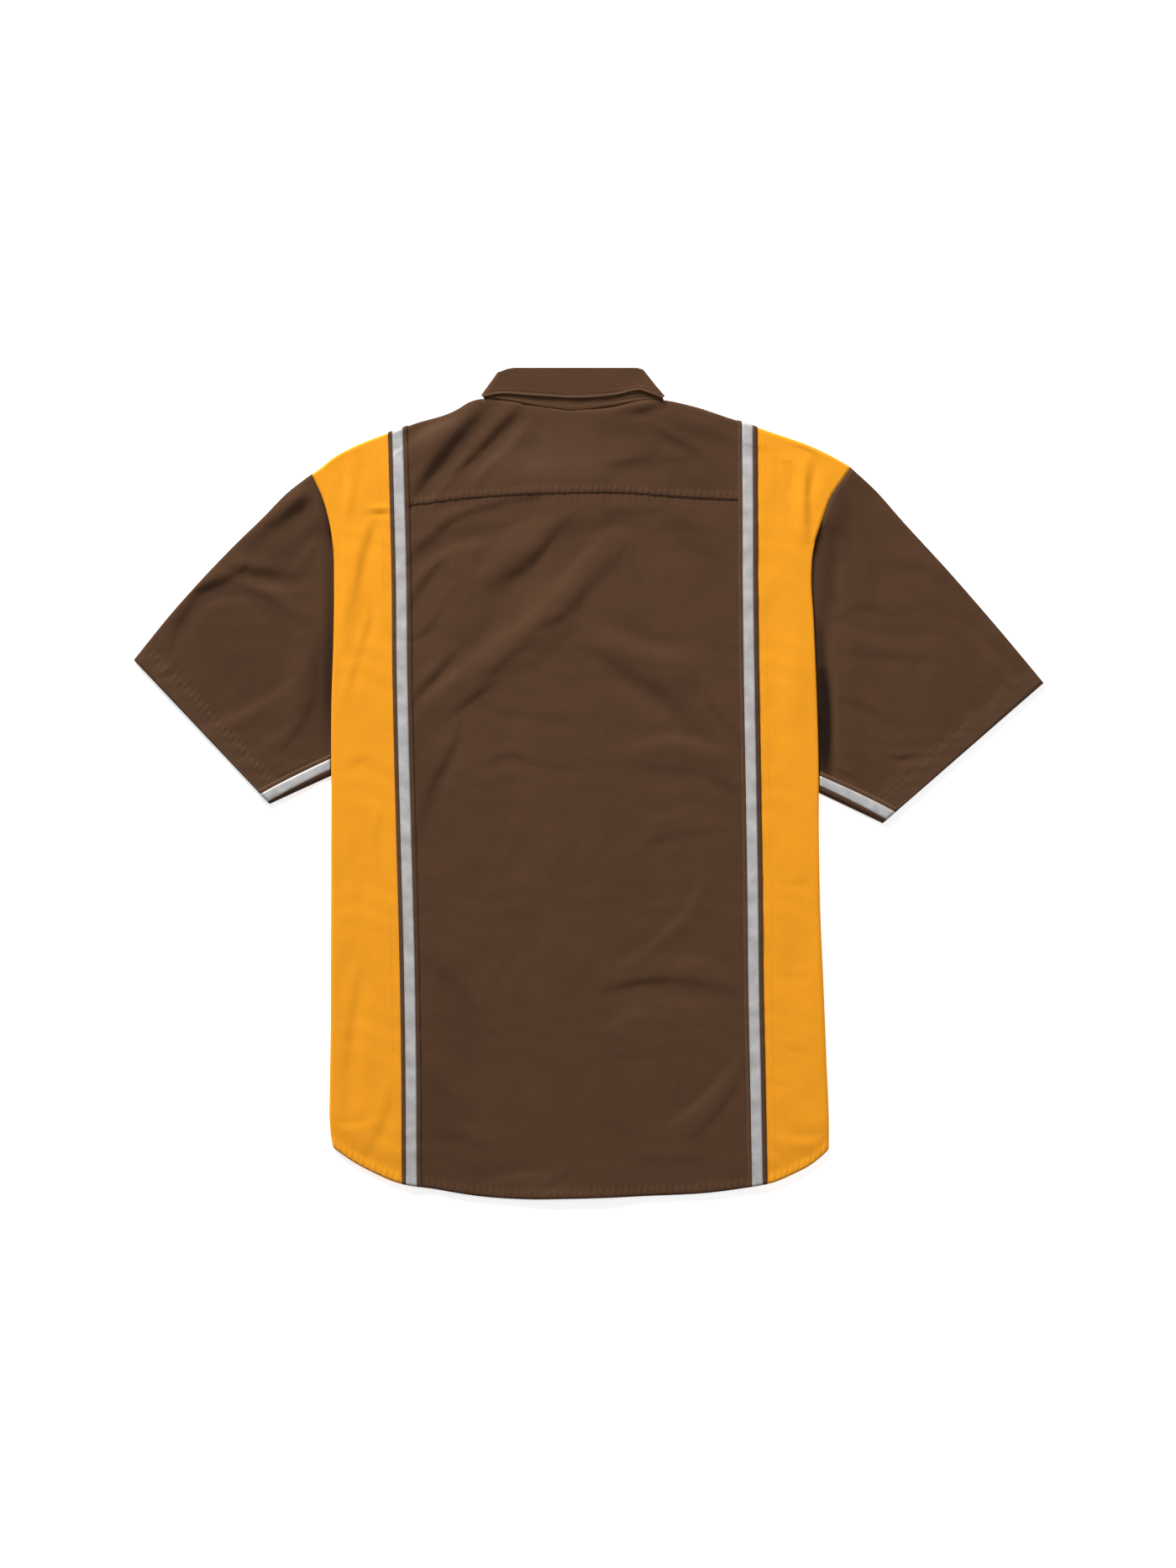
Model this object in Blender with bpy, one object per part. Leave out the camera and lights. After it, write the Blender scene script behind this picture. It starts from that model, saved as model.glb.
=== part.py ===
"""A short-sleeved work shirt laid flat on its front, back up, collar at +Y.

X runs across the shirt, from the wearer's left sleeve to the right one, and Z is up.
The origin is under the middle of the laid-out shirt, on the surface that it lies on.
Lengths below are in millimetres.
"""
import math

import bmesh
import bpy
import numpy as np

MM = 0.001

# Cloth, tape and film, and the room between pieces
CLOTH = 1.0
TAPE = 1.0
FILM = 0.6
GAP = 0.3
SEAM_GAP = 0.15

# How high the upper face of the back lies
BACK_HEIGHT = 5.2
PLACKET_RISE = 0.9
NECK_RISE = 0.2
ARMHOLE_RISE = 0.6
HEM_SINK = 1.2
YOKE_STEP = CLOTH + GAP
TURNED_EDGE_FLOOR = 2.9

# Widths of the made-up details
TAPE_HALF = 9.6
FILM_HALF = 5.25
YOKE_LAP = 12.0
SHOULDER_TURN = 25.0
SIDE_TURN = 20.0
ARMHOLE_TURN = 12.0
SLEEVE_TUCK = 11.0
FRONT_HEM_SHORTER = 3.0
PLACKET_X = -12.0
PLACKET_HALF = 17.0
PLACKET_TOP = 289.5
BUTTON_RADIUS = 5.5
BUTTON_THICK = 2.0
BUTTON_COUNT = 7
BUTTON_TOP_Y = 262.0
BUTTON_PITCH = 92.0
BUTTON_BEVEL = 0.4
NECK_HALF = 87.0
COLLAR_X = -13.2
FRONT_RISE = BUTTON_THICK + CLOTH + 2 * GAP
COLLAR_STAND_TOP = 5.4

# Outline of the laid-out body: hem and shoulders by x, side edges and tapes by y
HEM = (  # x, y
    (-256.0, -349.0), (-249.0, -354.2), (-230.0, -367.6), (-209.5, -378.8), (-189.0, -387.8),
    (-148.0, -395.2), (-107.0, -401.8), (-66.0, -404.8), (-25.0, -404.6), (57.0, -401.8),
    (118.5, -398.5), (159.5, -392.8), (180.0, -388.8), (200.5, -380.2), (221.0, -368.6),
    (234.5, -356.4), (240.0, -350.0),
)
SHOULDER_AND_NECK = (  # x, y
    (-270.0, 301.8), (-260.0, 308.8), (-250.5, 316.8), (-230.0, 328.4), (-209.5, 337.0),
    (-168.5, 351.8), (-127.5, 365.4), (-116.0, 372.4), (-106.0, 375.4), (-96.0, 375.4),
    (-80.0, 373.0), (-49.2, 368.2), (-25.4, 364.4), (-8.6, 364.2), (21.5, 366.0),
    (42.8, 371.0), (58.0, 373.6), (72.0, 374.4), (98.0, 369.6), (139.0, 356.7),
    (180.0, 342.8), (221.0, 328.0), (241.5, 317.9), (257.4, 308.3),
)
YOKE_EDGE = (  # x, y
    (-176.0, 270.4), (-115.2, 277.7), (-61.9, 281.3), (-26.2, 282.5), (41.4, 282.5),
    (80.4, 279.6), (150.0, 276.2),
)
SIDE_EDGE = {  # y, x
    "left": (
        (-360.0, -247.4), (-345.0, -250.6), (-330.0, -252.0), (-300.0, -252.0),
        (-240.0, -251.1), (-170.0, -250.9), (-22.0, -250.3), (84.0, -250.0),
        (140.0, -248.2), (190.0, -247.6), (232.0, -248.6), (256.7, -252.4), (280.0, -259.2), (302.2, -269.4),
    ),
    "right": (
        (-360.0, 235.0), (-333.7, 235.0), (-268.0, 232.5), (-194.3, 229.6), (-128.7, 226.7),
        (-55.0, 225.1), (27.0, 224.8), (84.5, 223.2), (158.0, 220.2), (207.5, 218.0),
        (232.0, 220.2), (256.7, 228.0), (281.3, 237.4), (307.5, 255.8),
    ),
}
TAPE_LINE = {  # y, x
    "left": (
        (-391.0, -172.0), (-280.0, -172.5), (-170.0, -174.2), (-60.0, -177.1), (40.0, -179.7),
        (110.0, -181.1), (200.0, -181.9), (273.0, -183.6), (345.0, -185.6),
    ),
    "right": (
        (-391.0, 165.3), (-300.0, 163.6), (-200.0, 161.6), (-100.0, 160.6), (0.0, 159.0),
        (100.0, 157.3), (200.0, 156.1), (273.0, 155.9), (350.0, 155.4),
    ),
}
OUTWARD = {"left": -1.0, "right": 1.0}
UNDERARM_Y = {"left": 6.6, "right": -10.7}

# Largest folds of the back: line through three points, half-width and height (down is negative)
BACK_FOLDS = (  # x0, y0, x1, y1, x2, y2, half_width, height
    (-172.0, 302.0, -150.0, 325.0, -115.0, 360.0, 20.0, 1.6),
    (-162.0, 284.0, -136.0, 312.0, -105.0, 345.0, 18.0, -1.5),
    (-70.0, 352.0, -92.0, 325.0, -122.0, 296.0, 18.0, -1.3),
    (12.0, 228.0, -52.0, 150.0, -140.0, 82.0, 34.0, 2.6),
    (0.0, 245.0, -45.0, 210.0, -90.0, 172.0, 22.0, -1.8),
    (-20.0, 264.0, -55.0, 235.0, -92.0, 205.0, 22.0, 1.4),
    (-50.0, 268.0, -110.0, 246.0, -168.0, 208.0, 20.0, -1.4),
    (-60.0, 128.0, -100.0, 88.0, -140.0, 55.0, 22.0, -1.0),
    (0.0, 142.0, 50.0, 120.0, 104.0, 108.0, 28.0, 1.5),
    (0.0, 122.0, 45.0, 96.0, 95.0, 58.0, 22.0, -1.2),
    (42.0, 31.0, 85.0, 30.0, 132.0, 20.0, 22.0, 1.3),
    (-152.0, 52.0, -152.0, 20.0, -166.0, -20.0, 20.0, 1.2),
    (20.0, -188.0, 80.0, -180.0, 140.0, -195.0, 22.0, 1.1),
    (25.0, -208.0, 80.0, -203.0, 140.0, -212.0, 20.0, -0.9),
    (-150.0, -178.0, -120.0, -230.0, -108.0, -290.0, 24.0, -1.1),
    (135.0, -290.0, 118.0, -315.0, 98.0, -335.0, 20.0, 0.9),
    (-230.0, 240.0, -236.0, 180.0, -240.0, 120.0, 15.0, 1.2),
    (-212.0, 240.0, -214.0, 190.0, -211.0, 145.0, 15.0, -1.0),
    (-232.0, -168.0, -230.0, -240.0, -232.0, -312.0, 18.0, -0.9),
    (208.0, 306.0, 206.0, 275.0, 210.0, 240.0, 14.0, 1.6),
    (196.0, 150.0, 200.0, 90.0, 198.0, 20.0, 20.0, 0.9),
    (196.0, -90.0, 206.0, -160.0, 202.0, -230.0, 22.0, -0.7),
)
FOLD_END = 0.35

# How the back's height changes: from where to where, by distance or by y
PLACKET_SLOPE = (20.0, 60.0)
PLACKET_FADE_Y = (300.0, 345.0)
NECK_SLOPE = (90.0, 130.0)
NECK_START_Y = (330.0, 362.0)
WING_SLOPE = (112.0, 136.0)
WING_START_Y = (222.0, 246.0)
FRONT_SLOPE = (PLACKET_HALF + 3.0, 52.0)
HEM_SLOPE = (0.0, 35.0)
HEM_SINK_ACROSS = (20.0, 70.0)
SIDE_CALM = (0.0, 14.0)

# The same by distance in from the side edge, above the underarm or above the yoke's edge
OVER_SLEEVE = (16.0, 46.0)
OVER_SLEEVE_START = (-120.0, -60.0)
OVER_SLEEVE_LEAST = 5.7
TURNED_EDGE_START = (-110.0, -55.0)
SIDE_TURN_CHANGE = (-40.0, -8.0)
SIDE_SEAM_END = (-28.0, -16.0)
LAP_START = (-42.0, -22.0)
LAP_END = (16.0, 40.0)
PANEL_DIP = (-24.0, -3.0)

# Sleeves: shoulder point, lower end of the armhole and the two corners of the hem, in x and y
SLEEVE_CORNERS = {
    "left": ((-270.1, 302.6), (-240.6, 13.0), (-443.2, 121.2), (-310.4, -19.5)),
    "right": ((258.0, 309.2), (214.2, -3.4), (444.6, 98.8), (287.4, -38.3)),
}
SLEEVE_CROWN = {  # share of the length, how far the upper fold bows out
    "left": ((0.0, 0.0), (0.12, 4.4), (0.25, 4.8), (0.4, 6.2), (0.6, 6.2), (0.75, 5.0), (1.0, 0.0)),
    "right": ((0.0, 0.0), (0.12, 3.0), (0.25, 2.6), (0.5, 3.2), (0.75, 2.2), (1.0, 0.0)),
}
SLEEVE_HEIGHT = 3.8
SLEEVE_LOW = 2.6
SLEEVE_FOLDS = {  # x0, y0, x1, y1, x2, y2, half_width, height
    "left": (
        (-264.0, 294.0, -288.0, 275.0, -315.0, 250.0, 18.0, 1.4),
        (-262.0, 270.0, -282.0, 256.0, -305.0, 238.0, 18.0, -0.9),
        (-390.0, 196.0, -350.0, 210.0, -296.0, 212.0, 18.0, 1.2),
        (-380.0, 178.0, -345.0, 190.0, -300.0, 192.0, 18.0, -0.8),
        (-275.0, 140.0, -280.0, 100.0, -300.0, 60.0, 22.0, 1.2),
        (-330.0, 150.0, -318.0, 90.0, -300.0, 40.0, 30.0, 0.8),
        (-400.0, 130.0, -380.0, 96.0, -352.0, 62.0, 24.0, 0.8),
    ),
    "right": (
        (250.0, 292.0, 256.0, 262.0, 256.0, 226.0, 16.0, 1.0),
        (248.0, 160.0, 252.0, 90.0, 256.0, 25.0, 22.0, 1.5),
        (272.0, 240.0, 284.0, 150.0, 290.0, 60.0, 30.0, 0.9),
        (330.0, 190.0, 350.0, 130.0, 340.0, 70.0, 30.0, 0.9),
    ),
}

# How a sleeve's height changes, by distance out from the side edge or by y
TUCK_SLOPE = (6.0, 40.0)
TUCK_END_Y = (205.0, 235.0)
OPEN_SEAM_START_Y = (236.0, 262.0)
OPEN_SEAM_SLOPE = (0.0, 45.0)
SLEEVE_CALM = (6.0, 26.0)
FOLD_SAMPLE = 2.0

# Strip across each sleeve: distance from the lower fold at the body and at the hem
STRIP_LOW = {"left": (7.0, 3.2), "right": (7.5, 5.4)}
STRIP_HIGH = {"left": (16.8, 13.2), "right": (16.6, 16.4)}
SLEEVE_TAPE_LOW = 2.4
SLEEVE_TAPE_MARGIN = 4.6
STRIP_BODY_GAP = 0.7
STRIP_REST = 0.48
STRIP_NEAR_SHARE = 0.2

# Collar, left half, from centre back to centre front; the right half mirrors it but for its side
LEAF_BACK = (  # fold x, fold y, edge x, edge y
    (-13.2, 405.9, -13.2, 376.0),
    (-34.0, 405.9, -33.0, 376.9),
    (-54.0, 405.9, -54.0, 378.2),
    (-74.0, 405.6, -84.0, 380.6),
)
LEAF_SIDE = {"left": (-88.0, 402.0, -104.4, 379.2), "right": (54.2, 404.8, 76.6, 377.6)}
LEAF_FRONT = (
    (-78.0, 381.0, -99.6, 352.0),
    (-66.0, 362.0, -95.0, 328.0),
    (-48.0, 338.0, -88.0, 300.0),
    (-13.8, 306.5, -70.0, 262.0),
)
STAND_BACK = (  # fold x, fold y, seam x, seam y
    (-13.2, 404.0, -13.2, 364.6),
    (-34.0, 404.0, -33.0, 366.2),
    (-54.0, 404.0, -54.0, 369.4),
    (-72.0, 403.6, -77.0, 373.9),
)
STAND_SIDE = {"left": (-87.4, 397.6, -98.2, 377.6), "right": (55.2, 398.8, 71.0, 376.8)}
STAND_FRONT = (
    (-79.3, 379.2, -93.0, 350.0),
    (-67.4, 360.3, -82.2, 332.6),
    (-49.6, 336.5, -66.0, 311.5),
    (-15.6, 305.1, -24.0, 290.8),
)
SIDE_SLANT = 1.1
LEAF_EDGE_LIFT = 0.8
LEAF_CURL = 1.2
LEAF_CURL_STEPS = ((0.0, 0.0), (0.75, 0.35), (1.0, 1.0), (1.0, 1.9))
LEAF_MARKS = (0.0, 0.35, 0.7, 1.0)
STAND_MARKS = (0.0, 0.5, 1.0)

# Fronts: distances of their first columns from the placket's middle, height, where it levels out
FRONT_NEAR = {
    "left": ((PLACKET_HALF + GAP, 26.0, 36.0, 50.0), FRONT_RISE - CLOTH - GAP, 48.0),
    "right": ((1.0 - PLACKET_HALF, -5.0, 6.0, PLACKET_HALF + GAP, 26.0, 36.0, 50.0), FRONT_RISE, 50.0),
}
NECKLINE_MARGIN = 5.0
SHOULDER_SEAM_GAP = 1.0
FRONT_SEAM_GAP = 4 * GAP

FRONT_NECKLINE = (  # x from the centre line, y
    (16.0, 289.9), (30.0, 293.0), (52.0, 308.5), (69.0, 327.0), (79.0, 346.0),
)

BROWN = (0.087, 0.044, 0.024)
YELLOW = (0.80, 0.35, 0.028)
SILVER = (0.47, 0.46, 0.46)
HORN = (0.030, 0.016, 0.010)
SHARP_ANGLE = 50.0

# How finely the sheets are divided
ROLL = (90.0, 45.0, 0.0, -45.0, -90.0)
TAPE_ROLL = (90.0, 45.0, 0.0, -20.0)
LOWER_ROWS = 32
UPPER_ROWS = 6
TURN_ROWS = 2
SIDE_COLUMNS = 4
TURN_COLUMNS = 2
CENTRE_COLUMNS = 16
ARMHOLE_ROW = 29
SLEEVE_ROWS = 14
SLEEVE_TOP_COLUMNS = 8
SLEEVE_UNDER_COLUMNS = 5
STRIP_ROWS = 5
FRONT_ROWS = 16
FRONT_SIDE_COLUMNS = 6
STRIP_COLUMNS = 4
FOLD_STEPS = 9
BUTTON_SEGMENTS = 20
SETTLE = 14
HALVINGS = 24

SHOULDER_ROW = LOWER_ROWS + UPPER_ROWS
SHOULDER_TURN_ROW = SHOULDER_ROW + len(ROLL) - 1
SEAM_COLUMNS = (SEAM_GAP, FILM_HALF, TAPE_HALF)
EDGE_COLUMN = len(SEAM_COLUMNS) - 1 + SIDE_COLUMNS
SIDE_TURN_COLUMN = EDGE_COLUMN + len(ROLL) - 1


def ease(start, end, value):
    """0 before start and 1 past end, with a smooth rise between them."""
    share = np.clip((value - start) / (end - start), 0.0, 1.0)
    return share * share * (3.0 - 2.0 * share)


def follow(table, at):
    """Smooth line through a table's two columns, held level past its ends."""
    knots = np.array([row[0] for row in table], dtype=float)
    values = np.array([row[1] for row in table], dtype=float)
    slopes = np.gradient(values, knots)
    at = np.clip(at, knots[0], knots[-1])
    low = np.clip(np.searchsorted(knots, at, side="right") - 1, 0, len(knots) - 2)
    span = knots[low + 1] - knots[low]
    s = (at - knots[low]) / span
    rise = s * s * (3.0 - 2.0 * s)
    bend_in = s * (1.0 - s) ** 2 * span * slopes[low]
    bend_out = -s * s * (1.0 - s) * span * slopes[low + 1]
    return values[low] * (1.0 - rise) + values[low + 1] * rise + bend_in + bend_out


def folds_at(folds, x, y):
    """Sum of soft troughs and ridges, each along a curve through its three points."""
    total = np.zeros_like(x)
    for x0, y0, x1, y1, x2, y2, half_width, height in folds:
        nearest = np.full_like(x, 1.0e9)
        along = np.zeros_like(x)
        steps = np.linspace(0.0, 1.0, FOLD_STEPS)
        first = (1 - steps) * (1 - 2 * steps)
        second = 4 * steps * (1 - steps)
        third = steps * (2 * steps - 1)
        curve_x = first * x0 + second * x1 + third * x2
        curve_y = first * y0 + second * y1 + third * y2
        for k in range(len(steps) - 1):
            run_x = curve_x[k + 1] - curve_x[k]
            run_y = curve_y[k + 1] - curve_y[k]
            length_squared = run_x * run_x + run_y * run_y
            share = ((x - curve_x[k]) * run_x + (y - curve_y[k]) * run_y) / length_squared
            share = np.clip(share, 0.0, 1.0)
            away = np.hypot(x - curve_x[k] - share * run_x, y - curve_y[k] - share * run_y)
            closer = away < nearest
            nearest = np.where(closer, away, nearest)
            along = np.where(closer, (k + share) / (len(steps) - 1), along)
        across = np.clip(1.0 - (nearest / half_width) ** 2, 0.0, 1.0) ** 2
        taper = FOLD_END + (1.0 - FOLD_END) * np.sin(np.pi * np.clip(along, 0.0, 1.0))
        total = total + height * across * taper
    return total


def side_edge(side, y):
    return follow(SIDE_EDGE[side], y)


def armhole(side, y):
    """Where the sleeve ends: at the seam high up, tucked under the side panel lower down."""
    tucked = 1.0 - ease(*TUCK_END_Y, y)
    return side_edge(side, y) + OUTWARD[side] * (2 * GAP - (SLEEVE_TUCK + 2 * GAP) * tucked)


def wing_rise(x, y):
    """How far the layers that lie on the surface rise over the collar's two points."""
    across = np.abs(x - COLLAR_X)
    beside = 1.0 - ease(*WING_SLOPE, across)
    below = ease(*WING_START_Y, y)
    return (CLOTH + GAP) * beside * below


def turned_floor(side, y):
    """Height of the turned-under side edge: on the sleeve above the underarm, then on the surface."""
    return TURNED_EDGE_FLOOR * ease(*TURNED_EDGE_START, y - UNDERARM_Y[side])


def lowest_back(x, y):
    """Least height of the back's upper face that clears the layers under it."""
    across = np.abs(x - PLACKET_X)
    fronts = np.maximum(wing_rise(x, y), FRONT_RISE * (1.0 - ease(*FRONT_SLOPE, across)))
    above_edge = y - follow(YOKE_EDGE, x)
    lapped = ease(*LAP_START, above_edge) * (1.0 - ease(*LAP_END, above_edge))
    return fronts + 2 * CLOTH + 2 * GAP + YOKE_STEP * lapped


def back_height(x, y):
    """Upper face of the back."""
    across = np.abs(x - PLACKET_X)
    over_placket = 1.0 - ease(*PLACKET_SLOPE, across)
    height = BACK_HEIGHT + PLACKET_RISE * over_placket * (1.0 - ease(*PLACKET_FADE_Y, y))
    height = height + NECK_RISE * (1.0 - ease(*NECK_SLOPE, across)) * ease(*NECK_START_Y, y)
    inside = np.minimum(x - side_edge("left", y), side_edge("right", y) - x)
    underarm = np.where(x < PLACKET_X, UNDERARM_Y["left"], UNDERARM_Y["right"])
    by_sleeve = (1.0 - ease(*OVER_SLEEVE, inside)) * ease(*OVER_SLEEVE_START, y - underarm)
    height = height + ARMHOLE_RISE * by_sleeve
    above_hem = y - follow(HEM, x)
    height = height - HEM_SINK * (1.0 - ease(*HEM_SLOPE, above_hem)) * ease(*HEM_SINK_ACROSS, across)
    calm = ease(*SIDE_CALM, inside)
    lowest = np.maximum(lowest_back(x, y), OVER_SLEEVE_LEAST * by_sleeve)
    return np.maximum(height + folds_at(BACK_FOLDS, x, y) * calm, lowest)


def panel_height(x, y):
    """Upper face of the back panel, which dips to pass under the yoke's folded edge."""
    return back_height(x, y) - YOKE_STEP * ease(*PANEL_DIP, y - follow(YOKE_EDGE, x))


def shoulder_radius(x):
    """Half the thickness of the shoulder fold."""
    y = follow(SHOULDER_AND_NECK, x) - BACK_HEIGHT / 2
    return (back_height(x, y) - wing_rise(x, y)) / 2


def at_neck(x):
    return np.abs(x - COLLAR_X) < NECK_HALF


def side_radius(side, y):
    """Half the thickness of the side fold."""
    x = side_edge(side, y) - OUTWARD[side] * BACK_HEIGHT / 2
    return (back_height(x, y) - turned_floor(side, y)) / 2


def make_material(name, colour, roughness, metallic=0.0):
    material = bpy.data.materials.new(name)
    material.use_nodes = True
    shader = material.node_tree.nodes["Principled BSDF"]
    shader.inputs["Base Color"].default_value = (*colour, 1.0)
    shader.inputs["Roughness"].default_value = roughness
    shader.inputs["Metallic"].default_value = metallic
    material.diffuse_color = (*colour, 1.0)
    return material


def finish_object(name, bm, material):
    mesh = bpy.data.meshes.new(name)
    bm.to_mesh(mesh)
    bm.free()
    mesh.shade_smooth()
    mesh.set_sharp_from_angle(angle=math.radians(SHARP_ANGLE))
    mesh.materials.append(material)
    piece = bpy.data.objects.new(name, mesh)
    bpy.context.scene.collection.objects.link(piece)
    return piece


def make_sheet(name, material, columns, rows, place, wall=CLOTH, keep=None, sample=(0, 0), joined=False):
    """A cloth wall: a grid laid out by place(column, row), then given its thickness inwards.

    sample is a face of the grid whose outer side looks up, or down if its column is negative.
    joined closes the first column onto the last, for a tube.
    """
    bm = bmesh.new()
    bmesh.ops.create_grid(bm, x_segments=columns, y_segments=rows, size=0.5)
    looks_down = sample[0] < 0
    sample_face = None
    cut = []
    for face in bm.faces:
        middle = face.calc_center_median()
        column = int((middle.x + 0.5) * columns)
        row = int((middle.y + 0.5) * rows)
        if (column, row) == (abs(sample[0]), sample[1]):
            sample_face = face
        if keep and not keep(column, row):
            cut.append(face)
    bmesh.ops.delete(bm, geom=cut, context="FACES")
    column = np.array([round((vert.co.x + 0.5) * columns) for vert in bm.verts])
    row = np.array([round((vert.co.y + 0.5) * rows) for vert in bm.verts])
    x, y, z = place(column, row)
    for k, vert in enumerate(bm.verts):
        vert.co = (x[k] * MM, y[k] * MM, z[k] * MM)
    sample_face.normal_update()
    if (sample_face.normal.z < 0.0) != looks_down:
        bmesh.ops.reverse_faces(bm, faces=bm.faces[:])
    if joined:
        bmesh.ops.remove_doubles(bm, verts=bm.verts[:], dist=0.05 * MM)
    piece = finish_object(name, bm, material)
    thickness = piece.modifiers.new("wall", "SOLIDIFY")
    thickness.thickness = wall * MM
    thickness.offset = -1.0
    thickness.use_even_offset = True
    return piece


def roll_angle(step, angles=ROLL):
    """Angle round a fold at a whole number of steps, held past either end."""
    held = np.clip(step, 0, len(angles) - 1)
    return np.radians(np.array(angles)[held])


def row_y(row, x, lift, angles):
    """Y of a body row at x: hem, yoke edge, shoulder fold, then back along the underside."""
    hem = follow(HEM, x)
    yoke_edge = follow(YOKE_EDGE, x)
    radius = np.where(at_neck(x), 0.0, shoulder_radius(x))
    top = follow(SHOULDER_AND_NECK, x) - radius
    y = hem + (yoke_edge - hem) * np.clip(row / LOWER_ROWS, 0.0, 1.0)
    y = y + (top - yoke_edge) * np.clip((row - LOWER_ROWS) / UPPER_ROWS, 0.0, 1.0)
    angle = roll_angle(row - SHOULDER_ROW, angles)
    y = y + np.where(row > SHOULDER_ROW, (radius + lift) * np.cos(angle), 0.0)
    return y - SHOULDER_TURN * np.clip((row - SHOULDER_TURN_ROW) / TURN_ROWS, 0.0, 1.0)


def place_on_body(x_at, row, lift=0.0, angles=ROLL):
    """Points of the columns x_at(y) at the given rows, lifted off the back by lift."""
    y = np.zeros(len(row))
    for _ in range(SETTLE):
        x = x_at(y)
        y = row_y(row, x, lift, angles)
    radius = shoulder_radius(x)
    angle = roll_angle(row - SHOULDER_ROW, angles)
    rolled = wing_rise(x, y) + radius + (radius + lift) * np.sin(angle)
    return x, y, np.where(row > SHOULDER_ROW, rolled, back_height(x, y) + lift)


def side_panel_place(side):
    """Layout of a side panel, from the tape out to the side fold and under it."""
    out = OUTWARD[side]
    offsets = np.array(SEAM_COLUMNS)
    underarm = UNDERARM_Y[side]

    def place(column, row):
        seam_column = np.clip(column, 0, len(SEAM_COLUMNS) - 1)
        share = np.clip((column - seam_column) / SIDE_COLUMNS, 0.0, 1.0)
        has_fold = row <= ARMHOLE_ROW

        def x_at(y):
            start = follow(TAPE_LINE[side], y) + out * offsets[seam_column]
            radius = np.where(has_fold, side_radius(side, y), 0.0)
            end = side_edge(side, y) - out * radius
            reach = radius * np.cos(roll_angle(column - EDGE_COLUMN))
            below_underarm = 1.0 - ease(*SIDE_TURN_CHANGE, y - underarm)
            width = ARMHOLE_TURN + (SIDE_TURN - ARMHOLE_TURN) * below_underarm
            turned = width * np.clip((column - SIDE_TURN_COLUMN) / TURN_COLUMNS, 0.0, 1.0)
            return start * (1.0 - share) + end * share + np.where(share == 1.0, out * (reach - turned), 0.0)

        x, y, z = place_on_body(x_at, row)
        radius = side_radius(side, y)
        rolled = turned_floor(side, y) + radius * (1.0 + np.sin(roll_angle(column - EDGE_COLUMN)))
        return x, y, np.where(column > EDGE_COLUMN, rolled, z)

    return place


def make_side_panels(material):
    columns = SIDE_TURN_COLUMN + TURN_COLUMNS
    rows = SHOULDER_TURN_ROW + TURN_ROWS

    def keep(column, row):
        if column >= EDGE_COLUMN:
            return row < ARMHOLE_ROW
        return True

    for side in OUTWARD:
        make_sheet(f"side_panel_{side}", material, columns, rows, side_panel_place(side), keep=keep)


def centre_x(column, y):
    """X of a column of the centre back and yoke, between the two seams under the tapes."""
    last = CENTRE_COLUMNS + 2 * (len(SEAM_COLUMNS) - 1)
    offsets = np.array(SEAM_COLUMNS)
    from_left = np.clip(column, 0, len(SEAM_COLUMNS) - 1)
    from_right = np.clip(last - column, 0, len(SEAM_COLUMNS) - 1)
    left = follow(TAPE_LINE["left"], y) + offsets[from_left]
    right = follow(TAPE_LINE["right"], y) - offsets[from_right]
    share = np.clip((column - len(SEAM_COLUMNS) + 1) / CENTRE_COLUMNS, 0.0, 1.0)
    return left * (1.0 - share) + right * share


def make_back_panel(material):
    """Centre back, its top edge lapped under the yoke."""
    def place(column, row):
        y = np.zeros(len(row))
        for _ in range(SETTLE):
            x = centre_x(column, y)
            hem = follow(HEM, x)
            yoke_edge = follow(YOKE_EDGE, x)
            y = hem + (yoke_edge - hem) * np.clip(row / LOWER_ROWS, 0.0, 1.0)
            y = y + YOKE_LAP * np.clip(row - LOWER_ROWS, 0.0, 1.0)
        return x, y, panel_height(x, y)

    columns = CENTRE_COLUMNS + 2 * (len(SEAM_COLUMNS) - 1)
    make_sheet("back_panel", material, columns, LOWER_ROWS + 1, place)


def make_back_yoke(material):
    """Yoke, rolled over both shoulders, its neckline cut to the collar."""
    columns = CENTRE_COLUMNS + 2 * (len(SEAM_COLUMNS) - 1)
    rows = UPPER_ROWS + len(ROLL) - 1 + TURN_ROWS
    neck_y = np.full(columns + 1, SHOULDER_AND_NECK[8][1])
    in_neck = at_neck(centre_x(np.arange(columns + 1), neck_y))

    def keep(column, row):
        return row < UPPER_ROWS or not (in_neck[column] or in_neck[column + 1])

    def place(column, row):
        return place_on_body(lambda y: centre_x(column, y), row + LOWER_ROWS)

    make_sheet("back_yoke", material, columns, rows, place, keep=keep)


def make_tapes(tape_material, film_material):
    """Tape over each join, and the reflective strip down its middle."""
    rows = SHOULDER_ROW + len(TAPE_ROLL) - 1
    tape_offsets = np.array((-TAPE_HALF, -FILM_HALF, 0.0, FILM_HALF, TAPE_HALF))
    film_offsets = np.array((-FILM_HALF, 0.0, FILM_HALF))
    tape_lift = GAP + TAPE
    film_lift = tape_lift + GAP + FILM

    def strip(name, side, material, offsets, lift, wall):
        def place(column, row):
            def x_at(y):
                return follow(TAPE_LINE[side], y) + offsets[column]
            return place_on_body(x_at, row, lift, TAPE_ROLL)
        make_sheet(name, material, len(offsets) - 1, rows, place, wall)

    for side in OUTWARD:
        strip(f"tape_{side}", side, tape_material, tape_offsets, tape_lift, TAPE)
        strip(f"reflective_{side}", side, film_material, film_offsets, film_lift, FILM)


def between(start, end, share):
    return start + (end - start) * share


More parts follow.
